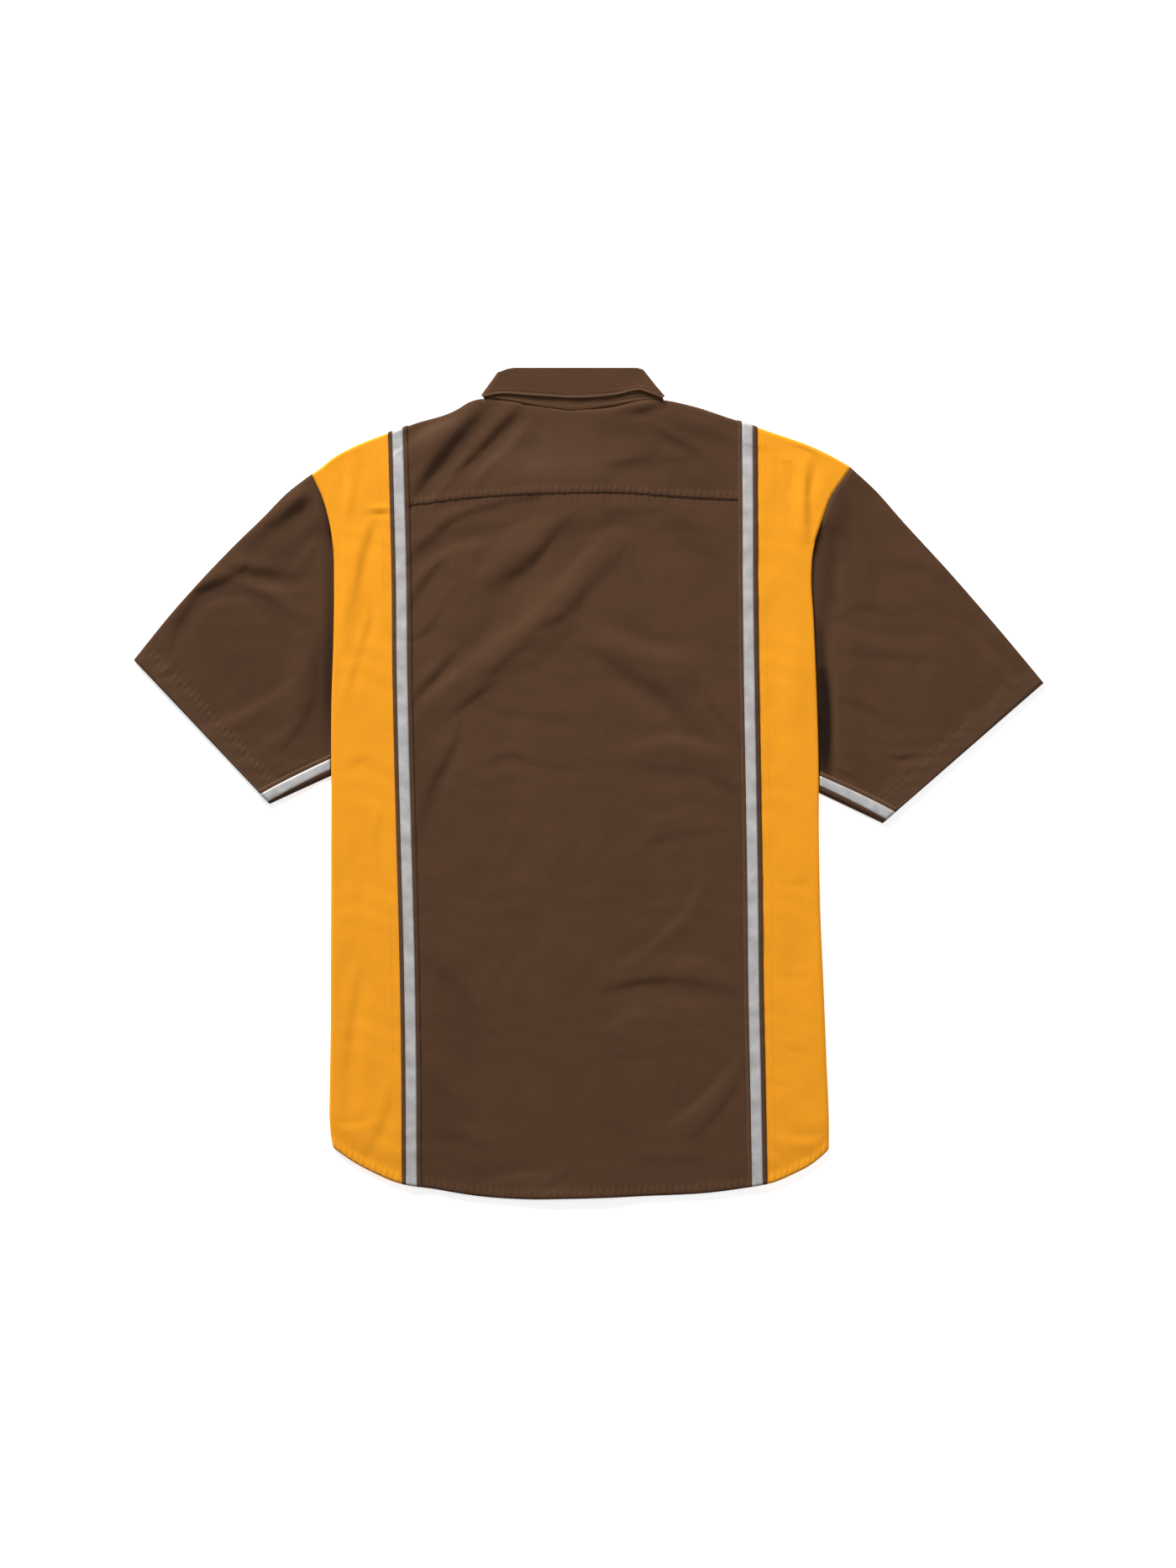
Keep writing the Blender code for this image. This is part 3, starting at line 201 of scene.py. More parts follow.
BACK_CREASES = (  # x0, y0, x1, y1, x2, y2, half_width, height, drop
    # broad folds of the yoke
    (-174, 306, -152, 331, -116, 364, 21, 2.5, 0), (-162, 284, -136, 312, -105, 345, 15, -1.5, 0),
    (-70, 352, -92, 325, -122, 296, 14, -1.3, 0),
    # broad folds below it
    (12, 228, -52, 150, -140, 82, 32, 2.6, 0), (0, 245, -45, 210, -90, 172, 20, -1.8, 0),
    (-20, 264, -55, 235, -92, 205, 20, 1.4, 0), (-50, 268, -110, 246, -168, 208, 18, -1.4, 0),
    (-60, 128, -100, 88, -140, 55, 20, -1, 0), (0, 142, 50, 120, 104, 108, 26, 1.5, 0),
    (0, 122, 45, 96, 95, 58, 20, -1.2, 0), (42, 31, 85, 30, 132, 20, 18, 1.3, 0),
    (-152, 52, -152, 20, -166, -20, 16, 1.2, 0), (20, -188, 80, -180, 140, -195, 18, 1.1, 0),
    (25, -208, 80, -203, 140, -212, 15, -0.9, 0), (-150, -178, -120, -230, -108, -290, 22, -1.1, 0),
    (135, -290, 118, -315, 98, -335, 16, 0.9, 0),
    # steeper falls and rises on the yoke
    (-169, 280, -154, 303, -134, 331, 11, 0, 2.6), (-136, 328, -121, 346, -100, 368, 12, 0, 2),
    (-68, 365, -87, 345, -112, 320, 11, 0, 2.7), (-105, 326, -119, 312, -132, 296, 11, 0, 1.5),
    (-178, 330, -152, 347, -124, 364, 15, 0, -2.2), (-60, 352, -88, 324, -122, 290, 9, 0, -0.9),
    (-85, 323, -97, 305, -106, 290, 7, 0, 0.5), (-80, 318, -30, 312, 16, 316, 26, 0, -1.5),
    (-50, 345, -25, 330, 0, 322, 20, 0, -0.5), (38, 363, 57, 366, 72, 371, 8, 0, 1.9),
    (63, 348, 80, 337, 98, 329, 9, 0, 1.7), (94, 331, 106, 322, 116, 311, 10, 0, 1.2),
    (14, 308, 44, 314, 70, 316, 18, 0, 1.9), (14, 295, 42, 297, 66, 296, 8, 0, -0.5),
    (90, 300, 106, 305, 120, 300, 11, 0, -0.4), (72, 356, 106, 345, 148, 333, 22, 0, 1.8),
    # on the upper back
    (-40, 279, -75, 274, -108, 267, 9, 0, 1.7), (-100, 267, -136, 253, -172, 221, 11, 0, 2),
    (-170, 258, -142, 265, -112, 272, 8, 0, -0.5), (-42, 270, -74, 248, -98, 218, 16, 0, -1.3),
    (-108, 236, -138, 227, -166, 203, 10, 0, -0.9), (-100, 242, -108, 221, -113, 200, 8, 0, 0.4),
    (-140, 219, -157, 201, -172, 175, 9, 0, 1.5), (-128, 202, -140, 189, -152, 172, 8, 0, -0.5),
    (-146, 163, -158, 149, -172, 142, 7, 0, 0.8), (54, 265, 12, 259, -26, 251, 14, 0, 1.8),
    (-14, 262, -32, 240, -62, 213, 15, 0, 2.2), (-58, 214, -80, 204, -108, 184, 18, 0, 1.4),
    (10, 241, -24, 200, -60, 162, 17, 0, -1.7), (-58, 164, -90, 139, -122, 113, 17, 0, -1.4),
    (-120, 115, -138, 101, -154, 88, 12, 0, -0.9), (26, 218, -2, 188, -22, 166, 14, 0, 1.4),
    (-16, 168, -38, 157, -58, 146, 10, 0, 1), (-46, 141, -76, 124, -101, 97, 9, 0, 0.8),
    (-94, 96, -114, 83, -132, 69, 8, 0, 1.2), (-133, 124, -150, 105, -170, 82, 9, 0, 2),
    (-168, 86, -171, 74, -172, 60, 6, 0, 0.5), (98, 122, 50, 135, -2, 158, 16, 0, -1.3),
    (-2, 131, 20, 120, 46, 105, 10, 0, 1), (44, 102, 74, 86, 100, 58, 17, 0, 1.6),
    (48, 241, 46, 229, 45, 217, 6, 0, 0.4), (98, 252, 108, 246, 118, 236, 9, 0, 0.5),
    (96, 246, 120, 218, 144, 180, 20, 0, 1.2), (105, 122, 112, 100, 108, 70, 10, 0, -0.5),
    (114, 92, 124, 73, 148, 41, 9, 0, 1.5),
    # on the middle of the back
    (58, 41, 88, 45, 124, 34, 12, 0, -1.1), (44, 22, 66, 15, 92, 12, 9, 0, 0.7),
    (119, 27, 125, 5, 150, -10, 8, 0, 0.6), (-127, 52, -134, 30, -149, 3, 10, 0, 1.8),
    (-149, 3, -158, -25, -164, -54, 10, 0, 0.9), (-58, 22, -77, 28, -94, 20, 8, 0, 0.9),
    (-8, 65, -50, 66, -100, 76, 12, 0, 0.7), (-18, 15, -35, 18, -52, 20, 10, 0, 0.5),
    (54, -62, 76, -52, 132, -45, 10, 0, 0.7), (58, -34, 84, -30, 104, -24, 10, 0, -0.4),
    # on the lower back
    (108, -90, 85, -135, 24, -182, 10, 0, -0.8), (20, -201, 50, -193, 86, -190, 8, 0, 1),
    (84, -191, 118, -196, 144, -205, 9, 0, 0.5), (18, -236, 35, -226, 52, -222, 12, 0, -0.6),
    (92, -176, 104, -172, 118, -174, 9, 0, -0.4), (-162, -168, -136, -190, -116, -212, 14, 0, 0.9),
    (-126, -214, -120, -246, -106, -287, 9, 0, 0.9), (-96, -218, -92, -234, -94, -248, 8, 0, 0.4),
    (-152, -284, -136, -305, -118, -322, 13, 0, 0.9), (-142, -344, -120, -345, -103, -357, 10, 0, 0.6),
    (147, -288, 130, -315, 110, -337, 9, 0, 0.8), (142, -274, 116, -304, 86, -327, 9, 0, -0.8),
    (18, -262, 40, -265, 67, -262, 9, 0, 0.4), (-13, -368, -23, -382, -46, -395, 8, 0, 0.8),
    (-40, -379, -66, -382, -98, -388, 8, 0, -0.5), (44, -361, 70, -365, 102, -365, 9, 0, 0.4),
    (-42, -60, -40, -110, -46, -166, 8, 0, -0.3),
    # left side panel
    (-230, 240, -236, 180, -240, 120, 13, 1.2, 0), (-212, 240, -214, 190, -211, 145, 13, -1, 0),
    (-232, -168, -230, -240, -232, -312, 16, -0.9, 0), (-234, 322, -236, 290, -242, 255, 9, 0, -1),
    (-226, 300, -229, 280, -232, 262, 7, 0, 0.5), (-213, 265, -203, 266, -193, 266, 5, 0, 1.5),
    (-208, 257, -218, 228, -228, 180, 8, 0, 1.2), (-244, 230, -246, 190, -244, 140, 8, 0, -0.8),
    (-212, 170, -215, 152, -223, 128, 6, 0, 0.9), (-221, 126, -230, 104, -236, 78, 8, 0, 0.8),
    (-213, 26, -226, 22, -240, 14, 8, 0, 0.5), (-202, -28, -206, -62, -198, -104, 8, 0, 0.7),
    (-222, -88, -226, -110, -222, -140, 12, 0, 0.5), (-220, -172, -231, -232, -238, -316, 10, 0, 1.1),
    (-246, -330, -230, -334, -210, -328, 8, 0, -0.8), (-192, -298, -203, -334, -216, -357, 10, 0, 1),
    # right side panel
    (208, 306, 206, 275, 210, 240, 10, 1.6, 0), (196, 150, 200, 90, 198, 20, 18, 0.9, 0),
    (196, -90, 206, -160, 202, -230, 20, -0.7, 0), (218, 315, 214, 276, 219, 236, 7, 0, 2.3),
    (196, 312, 205, 298, 208, 264, 9, 0, -1.3), (203, 330, 214, 326, 225, 317, 5, 0, 0.9),
    (178, 326, 182, 306, 181, 288, 7, 0, 0.6), (178, -90, 200, -96, 214, -92, 8, 0, 0.4),
    (190, -186, 206, -186, 216, -184, 8, 0, 0.3), (182, -250, 200, -257, 216, -262, 8, 0, 0.5),
    (176, -284, 186, -291, 194, -292, 7, 0, 0.5), (180, -338, 185, -355, 196, -368, 8, 0, 0.8),
    (194, -345, 212, -347, 231, -342, 9, 0, -0.8),
)
# Bands of painted light and painted shade on the back and yoke, along the folds and near the hem: paler on
# lit flanks, darker on shaded ones.
BACK_PAINTED_SHADING = (  # x0, y0, x1, y1, x2, y2, half_width, painted light (painted shade if below nothing), no drop
    (-168, 333, -142, 347, -116, 363, 20, 0.26, 0), (-100, 312, -40, 322, 18, 322, 38, 0.15, 0),
    (28, 352, 75, 335, 130, 302, 34, -0.2, 0), (-150, 300, -118, 336, -86, 360, 26, -0.24, 0),
    (30, 296, 90, 296, 150, 292, 18, -0.08, 0), (-178, 260, -120, 274, -46, 280, 12, -0.16, 0),
    (10, 268, -24, 250, -52, 222, 20, -0.1, 0), (40, 262, 100, 248, 136, 200, 30, -0.08, 0),
    (50, 96, 88, 78, 104, 46, 28, -0.1, 0), (-166, 66, -158, 20, -170, -66, 26, -0.16, 0),
    (118, 16, 138, -6, 154, -44, 18, -0.12, 0), (-164, -170, -126, -220, -114, -292, 30, -0.13, 0),
    (-168, -264, -146, -320, -116, -366, 32, -0.15, 0), (-4, -396, -56, -388, -110, -384, 16, 0.12, 0),
    (16, -380, 76, -386, 150, -376, 16, 0.1, 0), (152, -286, 122, -314, 82, -332, 15, 0.12, 0),
    (14, -236, 42, -226, 66, -212, 24, 0.1, 0),
)
COLLARWARD = (-0.4, 0.92)


def ease(start, end, value):
    """0 before start and 1 past end, with a smooth rise between them."""
    share = np.clip((value - start) / (end - start), 0.0, 1.0)
    return share * share * (3.0 - 2.0 * share)


def fade(start, end, value):
    """1 before start and 0 past end."""
    return 1.0 - ease(start, end, value)


def bell(strength, width, offset):
    """Full strength at no offset, falling off smoothly to both sides."""
    return strength * np.exp(-(offset / width) ** 2)


def between(start, end, share):
    """The value a share of the way from start to end."""
    return start + (end - start) * share


def held_above(height, lowest):
    """height, but never under lowest, with a soft bend where they meet."""
    over = height - lowest
    return lowest + 0.5 * (over + np.sqrt(over * over + SOFTENING))


def follow(table, at):
    """Smooth line through a table's two columns, held level past its ends."""
    knots = np.array([row[0] for row in table], dtype=float)
    values = np.array([row[1] for row in table], dtype=float)
    slopes = np.gradient(values, knots)
    at = np.clip(at, knots[0], knots[-1])
    low = np.clip(np.searchsorted(knots, at, side="right") - 1, 0, len(knots) - 2)
    span = knots[low + 1] - knots[low]
    s = (at - knots[low]) / span
    rise = s * s * (3.0 - 2.0 * s)
    bend_in = s * (1.0 - s) ** 2 * span * slopes[low]
    bend_out = -s * s * (1.0 - s) * span * slopes[low + 1]
    return values[low] * (1.0 - rise) + values[low + 1] * rise + bend_in + bend_out


def creases_at(table, x, y):
    """Sum of soft folds, each along a curve through its three points.

    height is that of a ridge, or of a trough if negative. drop is how far the cloth falls
    across the line, from the side nearer the collar; it rises there if drop is negative.
    """
    total = np.zeros_like(x)
    steps = np.linspace(0.0, 1.0, CREASE_STEPS)
    first = (1 - steps) * (1 - 2 * steps)
    second = 4 * steps * (1 - steps)
    third = steps * (2 * steps - 1)
    for x0, y0, x1, y1, x2, y2, half_width, height, drop in table:
        reach = 2.0 * half_width if drop else half_width
        near = (x > min(x0, x1, x2) - reach) & (x < max(x0, x1, x2) + reach)
        near &= (y > min(y0, y1, y2) - reach) & (y < max(y0, y1, y2) + reach)
        if not near.any():
            continue
        at_x, at_y = x[near], y[near]
        curve_x = first * x0 + second * x1 + third * x2
        curve_y = first * y0 + second * y1 + third * y2
        upper = math.copysign(1.0, (x2 - x0) * COLLARWARD[1] - (y2 - y0) * COLLARWARD[0])
        nearest = np.full_like(at_x, 1.0e9)
        side_of = np.ones_like(at_x)
        along = np.zeros_like(at_x)
        for k in range(len(steps) - 1):
            run_x = curve_x[k + 1] - curve_x[k]
            run_y = curve_y[k + 1] - curve_y[k]
            share = ((at_x - curve_x[k]) * run_x + (at_y - curve_y[k]) * run_y) / (run_x ** 2 + run_y ** 2)
            share = np.clip(share, 0.0, 1.0)
            off_x = at_x - curve_x[k] - share * run_x
            off_y = at_y - curve_y[k] - share * run_y
            away = np.hypot(off_x, off_y)
            closer = away < nearest
            nearest = np.where(closer, away, nearest)
            side_of = np.where(closer, np.sign(run_x * off_y - run_y * off_x), side_of)
            along = np.where(closer, (k + share) / (len(steps) - 1), along)
        across = np.clip(nearest / half_width, 0.0, 1.0)
        wide = np.clip(nearest / reach, 0.0, 1.0)
        profile = height * (1.0 - across * across) ** 2
        profile = profile + DROP_GAIN * drop * upper * side_of * wide * (1.0 - wide) ** 3
        taper = np.sin(np.pi * between(CREASE_END, 1.0 - CREASE_END, np.clip(along, 0.0, 1.0))) ** 0.8
        total[near] += profile * taper
    return total


def undulation(x, y):
    """Faint unevenness of washed cloth: waves 4 to 40 mm long, each bent by another."""
    broad = np.sin(x / 23.0 + 1.7 * np.sin(y / 41.0) + 0.4)
    broad = broad * np.sin(y / 31.0 + 1.3 * np.sin(x / 37.0) + 1.1)
    middle = np.sin((x + 0.8 * y) / 10.7 + 2.1 * np.sin(y / 19.0))
    middle = middle * np.sin((x - 1.6 * y) / 15.3 + 1.2 * np.sin(x / 13.0))
    fine = np.sin(x / 4.1 + 1.9 * np.sin(y / 7.7)) * np.sin(y / 5.3 + 1.4 * np.sin(x / 8.9))
    return 0.34 * broad + 0.20 * middle + 0.05 * fine


def pucker(along, pitch, seed):
    """Uneven row of gathers along a sewn line, from -1 to 1."""
    phase = 2.0 * math.pi * along / pitch + 2.3 * np.sin(along / 31.0 + seed)
    phase = phase + 1.2 * np.sin(along / 12.7 + 2.0 * seed)
    strength = 0.65 + 0.35 * np.sin(along / 17.0 + 1.7 * seed)
    return np.sin(phase) * strength


def side_edge(side, y):
    """X of the shirt's left or right edge."""
    return follow(SIDE_EDGE[side], y)


def wing_rise(x, y):
    """How far the layers that lie on the surface rise over the collar's two points."""
    across = np.abs(x - COLLAR_X)
    return (CLOTH + GAP) * fade(*WING_SLOPE, across) * ease(*WING_START_Y, y)


def lowest_back(x, y):
    """Least height of the back's upper face that clears the layers under it."""
    across = np.abs(x - PLACKET_X)
    fronts = np.maximum(wing_rise(x, y), FRONT_RISE * fade(*FRONT_SLOPE, across))
    above_edge = y - follow(YOKE_EDGE, x)
    lapped = ease(*LAP_START, above_edge) * fade(*LAP_END, above_edge)
    return fronts + 2 * CLOTH + GAP + YOKE_STEP * lapped


def hem_relief(x, y):
    """Narrow hem along the tail: a doubled edge, drawn into small puckers by its stitching."""
    above = y - follow(HEM, x)
    doubled = HEM_RIDGE * fade(HEM_DEPTH - 0.8, HEM_DEPTH + 1.2, above)
    puckered = pucker(x, *HEM_PUCKER) * bell(*HEM_PUCKERS, above - HEM_PUCKERS_AT)
    return doubled + bell(*HEM_GROOVE, above - HEM_STITCH) + puckered


def hem_gather(above):
    """How strongly a narrow hem is gathered, at a distance above its edge."""
    return bell(1.0, 0.5 * HEM_DEPTH, above - 0.6 * HEM_DEPTH)


def back_height(x, y):
    """Upper face of the back."""
    across = np.abs(x - PLACKET_X)
    height = BACK_HEIGHT + PLACKET_RISE * fade(*PLACKET_SLOPE, across) * fade(*PLACKET_FADE_Y, y)
    height = height + NECK_RISE * fade(*NECK_SLOPE, across) * ease(*NECK_START_Y, y)
    inside = np.minimum(x - side_edge("left", y), side_edge("right", y) - x)
    underarm = np.where(x < PLACKET_X, UNDERARM_Y["left"], UNDERARM_Y["right"])
    by_sleeve = fade(*OVER_SLEEVE, inside) * ease(*OVER_SLEEVE_START, y - underarm)
    height = height + ARMHOLE_RISE * by_sleeve
    height = height - HEM_SINK * fade(*HEM_SLOPE, y - follow(HEM, x)) * ease(*HEM_SINK_ACROSS, across)
    height = height + (creases_at(BACK_CREASES, x, y) + undulation(x, y)) * ease(*SIDE_CALM, inside)
    return held_above(height, np.maximum(lowest_back(x, y), OVER_SLEEVE_LEAST * by_sleeve))


def add_node(tree, kind, inputs):
    """A new shader node with these inputs."""
    node = tree.nodes.new("ShaderNode" + kind)
    set_inputs(tree, node, inputs)
    return node


def bump(tree, height, strength, depth, under=None):
    """Normal of a relief this many millimetres deep, over another normal."""
    inputs = {"Height": height, "Strength": strength, "Distance": depth * MM}
    if under:
        inputs["Normal"] = under
    return add_node(tree, "Bump", inputs).outputs["Normal"]


def shade(colour, factor=1.0):
    """A colour made darker or paler, with its alpha."""
    return (*(min(1.0, factor * c) for c in colour), 1.0)


def cloth_uv(tree):
    """The piece's own lengths across and along the cloth."""
    uv = add_node(tree, "UVMap", {})
    uv.uv_map = "cloth"
    return uv.outputs["UV"]


PUCKER_PITCH = 6.3
RIB_TURN = math.radians(58.0)
WAVE_PHASE = 20.0  # a metre, of a wave texture at a scale of 1


def dye_cloth(name, colour, worn_and_lit_colour, twill=0.62, sheen=0.1, mottle=0.9):
    """Washed twill: diagonal ribs, slubs, soft mottling, puckers at sewn lines, paler abraded edges, painted
    light and shade.

    Each piece carries two values. The first pales the cloth above zero, where it is abraded and where light
    is painted on, and below zero darkens it as painted shade. The second says where the piece's sewing draws
    it up.
    """
    material, tree, shader = new_material(name)
    uv = cloth_uv(tree)

    def noise(scale, detail, stretch=(1.0, 1.0, 1.0)):
        stretched = add_node(tree, "Mapping", {"Scale": stretch, "Vector": uv}).outputs["Vector"]
        return add_node(tree, "TexNoise", {
            "Scale": scale, "Detail": detail, "Vector": stretched,
        }).outputs["Fac"]

    def bands(pitch, distortion, detail, detail_scale, vector):
        return add_node(tree, "TexWave", {
            "Scale": 2.0 * math.pi / (WAVE_PHASE * pitch * MM), "Distortion": distortion,
            "Detail": detail, "Detail Scale": detail_scale, "Vector": vector,
        }).outputs["Fac"]

    def blend(factor, first, second):
        mix = add_node(tree, "Mix", {"Factor": factor})
        mix.data_type = "RGBA"
        for socket, value in zip([s for s in mix.inputs if s.type == "RGBA"], (first, second)):
            if isinstance(value, tuple):
                socket.default_value = value
            else:
                tree.links.new(value, socket)
        return [s for s in mix.outputs if s.type == "RGBA"][0]

    def spread(source, low, high, dark, light):
        return add_node(tree, "MapRange", {
            "From Min": low, "From Max": high, "To Min": dark, "To Max": light, "Value": source,
        }).outputs["Result"]

    def own_value(value_name):
        attribute = add_node(tree, "Attribute", {})
        attribute.attribute_name = value_name
        return attribute.outputs["Fac"]

    def times(first, second):
        product = add_node(tree, "Math", {0: first, 1: second})
        product.operation = "MULTIPLY"
        return product.outputs["Value"]

    turned = add_node(tree, "Mapping", {"Rotation": (0.0, 0.0, RIB_TURN), "Vector": uv}).outputs["Vector"]
    ribs = bands(twill, 1.2, 2.0, 1.5, turned)
    deep = shade(colour, mottle)
    pale = shade(colour, 2.0 - mottle)
    worn_and_lit = shade(worn_and_lit_colour)
    dyed = blend(spread(noise(26.0, 4.0), 0.35, 0.65, 0.0, 1.0), deep, shade(colour))
    dyed = blend(spread(noise(320.0, 3.0), 0.35, 0.7, 0.0, 0.55), dyed, pale)
    dyed = blend(spread(noise(900.0, 2.0, (0.25, 1.0, 1.0)), 0.4, 0.75, 0.0, 0.35), dyed, pale)
    dyed = blend(spread(ribs, 0.2, 0.9, 0.22, 0.0), dyed, deep)
    wear_and_painted_shading = own_value("wear_and_painted_shading")
    # Abraded places and painted light pale the cloth toward its pale colour.
    dyed = blend(times(wear_and_painted_shading, spread(noise(700.0, 3.0), 0.3, 0.7, 0.45, 1.0)), dyed, worn_and_lit)
    # Painted shade: below zero the cloth darkens toward a fifth of its colour.
    dyed = blend(spread(wear_and_painted_shading, 0.0, -1.0, 0.0, 1.0), dyed, shade(colour, 0.2))
    puckers = times(bands(PUCKER_PITCH, 2.4, 1.0, 0.35, uv), own_value("gather"))
    dyed = blend(spread(puckers, 0.35, 1.0, 0.0, 0.4), dyed, worn_and_lit)
    weave = bump(tree, ribs, 0.35, 0.12)
    crumple = bump(tree, noise(200.0, 4.0), 0.22, 0.35, weave)
    set_inputs(tree, shader, {
        "Base Color": dyed, "Roughness": 0.9, "Specular IOR Level": 0.12, "Sheen Weight": sheen,
        "Sheen Roughness": 0.5, "Sheen Tint": worn_and_lit, "Normal": bump(tree, puckers, 0.8, 1.1, crumple),
    })
    return material


def cloth_lengths(points, columns, rows):
    """Distance along the cloth across and up a grid of points, in metres."""
    grid = points.reshape(rows + 1, columns + 1, 3)
    across = np.zeros((rows + 1, columns + 1))
    across[:, 1:] = np.cumsum(np.linalg.norm(np.diff(grid, axis=1), axis=2), axis=1)
    across -= across[:, columns // 2][:, None]
    up = np.zeros((rows + 1, columns + 1))
    up[1:, :] = np.cumsum(np.linalg.norm(np.diff(grid, axis=0), axis=2), axis=0)
    return across.ravel() * MM, up.ravel() * MM


def lay_cloth(name, material, columns, rows, place, wall=CLOTH_SHOWN, keep=None, joined=False,
              looks_down=False, sample=None):
    """A cloth piece: a grid laid out by place(column, row), given its thickness inwards.

    place returns x, y, z in millimetres, how abraded the cloth is together with its painted light and shade,
    and how much its sewing gathers it. sample is a column and row whose face looks out: up, unless
    looks_down.
    """
    form = bmesh.new()
    bmesh.ops.create_grid(form, x_segments=columns, y_segments=rows, size=0.5)
    mesh = bpy.data.meshes.new(name)
    if keep:
        cut = []
        for face in form.faces:
            middle = face.calc_center_median()
            if not keep(int((middle.x + 0.5) * columns), int((middle.y + 0.5) * rows)):
                cut.append(face)
        bmesh.ops.delete(form, geom=cut, context="FACES_ONLY")
    form.to_mesh(mesh)
    form.free()
    flat = np.zeros(len(mesh.vertices) * 3)
    mesh.vertices.foreach_get("co", flat)
    flat = flat.reshape(-1, 3)
    column = np.rint((flat[:, 0] + 0.5) * columns).astype(int)
    row = np.rint((flat[:, 1] + 0.5) * rows).astype(int)
    order = np.argsort(row * (columns + 1) + column)
    x, y, z, wear_and_shading, gathered = place(column, row)
    points = np.stack((x, y, z), axis=1)
    across = np.empty(len(order))
    up = np.empty(len(order))
    across[order], up[order] = cloth_lengths(points[order], columns, rows)
    mesh.vertices.foreach_set("co", (points * MM).ravel())
    corners = np.zeros(len(mesh.loops), dtype=np.int32)
    mesh.loops.foreach_get("vertex_index", corners)
    layer = mesh.uv_layers.new(name="cloth")
    layer.data.foreach_set("uv", np.stack((across[corners], up[corners]), axis=1).ravel())
    for value_name, values in (("wear_and_painted_shading", wear_and_shading), ("gather", gathered)):
        layer = mesh.attributes.new(value_name, "FLOAT", "POINT")
        layer.data.foreach_set("value", np.clip(values + np.zeros(len(x)), -1.0, 1.0))
    mesh.update()
    out_column, out_row = sample or (columns // 2, rows // 3)
    corner = np.nonzero((column == out_column) & (row == out_row))[0][0]
    out_faces = [face for face in mesh.polygons if corner in face.vertices]
    if (sum(face.normal.z for face in out_faces) < 0.0) != looks_down:
        mesh.flip_normals()
    form = bmesh.new()
    form.from_mesh(mesh)
    loose = [vert for vert in form.verts if not vert.link_faces]
    bmesh.ops.delete(form, geom=loose, context="VERTS")
    if joined:
        bmesh.ops.remove_doubles(form, verts=form.verts[:], dist=0.02 * MM)
    form.to_mesh(mesh)
    form.free()
    mesh.shade_smooth()
    mesh.materials.append(material)
    piece = add_object(name, mesh)
    thickness = piece.modifiers.new("thickness", "SOLIDIFY")
    thickness.thickness = wall * MM
    thickness.offset = -1.0
    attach(piece, "root")
    return piece


BACK_COLUMNS = 114
LOWER_ROWS = 232
LAP_ROWS = 4
YOKE_STEP_SHOWN = 0.45
BROWN = (0.086, 0.0410, 0.0205)
# Paler brown for abraded places, and for painted light on the back's folds.
BROWN_WORN_AND_LIT = (0.165, 0.100, 0.064)
brown_twill = dye_cloth("brown_twill", BROWN, BROWN_WORN_AND_LIT)


def centre_x(column, y):
    """X of a column of the centre back and yoke, between the two seams under the tapes."""
    left = follow(TAPE_LINE["left"], y) + SEAM_GAP
    right = follow(TAPE_LINE["right"], y) - SEAM_GAP
    return left + (right - left) * column / BACK_COLUMNS


def place_back(column, row):
    """Layout of the back, from the tail hem to where it ends under the yoke."""
    y = np.zeros(len(row))
    for _ in range(SETTLE):
        x = centre_x(column, y)
        hem = follow(HEM, x)
        yoke_edge = follow(YOKE_EDGE, x)
        y = between(hem, yoke_edge, np.clip(row / LOWER_ROWS, 0.0, 1.0))
        y = y + YOKE_LAP * np.clip((row - LOWER_ROWS) / LAP_ROWS, 0.0, 1.0)
    under_yoke = ease(*PANEL_DIP, y - yoke_edge)
    drawn = pucker(x, *YOKE_PUCKER) * bell(*PANEL_PUCKERS, yoke_edge - y)
    # Abrasion along the hem, plus bands of painted light and shade along the folds.
    wear_and_shading = bell(*PANEL_HEM_WORN, y - hem) + creases_at(BACK_PAINTED_SHADING, x, y)
    gathered = PANEL_HEM_GATHER * hem_gather(y - hem) + bell(*PANEL_TOP_GATHER, yoke_edge - y)
    z = back_height(x, y) + hem_relief(x, y) + drawn - YOKE_STEP_SHOWN * under_yoke
    return x, y, z, wear_and_shading, gathered


back_panel = lay_cloth("back_panel", brown_twill, BACK_COLUMNS, LOWER_ROWS + LAP_ROWS, place_back)
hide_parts("back_panel")

# ---------------------------------------------------------------- yoke
# A separate piece of the same twill across the shoulders. Its lower edge is folded in and
# topstitched down over the back, and it rolls over both shoulders to the front seams.
SHOULDER_AND_NECK = (  # x, y
    (-270.0, 301.8), (-260.0, 308.8), (-250.5, 316.8), (-230.0, 328.4), (-209.5, 337.0),
    (-168.5, 351.8), (-127.5, 365.4), (-116.0, 372.4), (-106.0, 375.4), (-96.0, 375.4),
    (-80.0, 373.0), (-49.2, 368.2), (-25.4, 364.4), (-8.6, 364.2), (21.5, 366.0),
    (42.8, 371.0), (58.0, 373.6), (72.0, 374.4), (98.0, 369.6), (139.0, 356.7),
    (180.0, 342.8), (221.0, 328.0), (241.5, 317.9), (257.4, 308.3),
)
ROLL = (90.0, 60.0, 30.0, 0.0, -30.0, -60.0, -90.0)
TAPE_ROLL = (90.0, 65.0, 40.0, 15.0, -5.0, -20.0)
SHOULDER_TURN = 25.0
TURN_ROWS = 5
NECK_HALF = 87.0
UPPER_ROWS = 34
SHOULDER_ROW = LOWER_ROWS + UPPER_ROWS
SHOULDER_TURN_ROW = SHOULDER_ROW + len(ROLL) - 1
YOKE_STITCH = 8.6
YOKE_RIDGE = 0.1
YOKE_GROOVE = (-0.3, 1.3)
YOKE_PUCKERS = (0.45, 4.2)
YOKE_WORN = (0.3, 1.5)
YOKE_GATHER = (0.55, 3.6)
EDGE_DIP = (0.36, 0.06)  # of the folded edge, up to the first x below and past the second
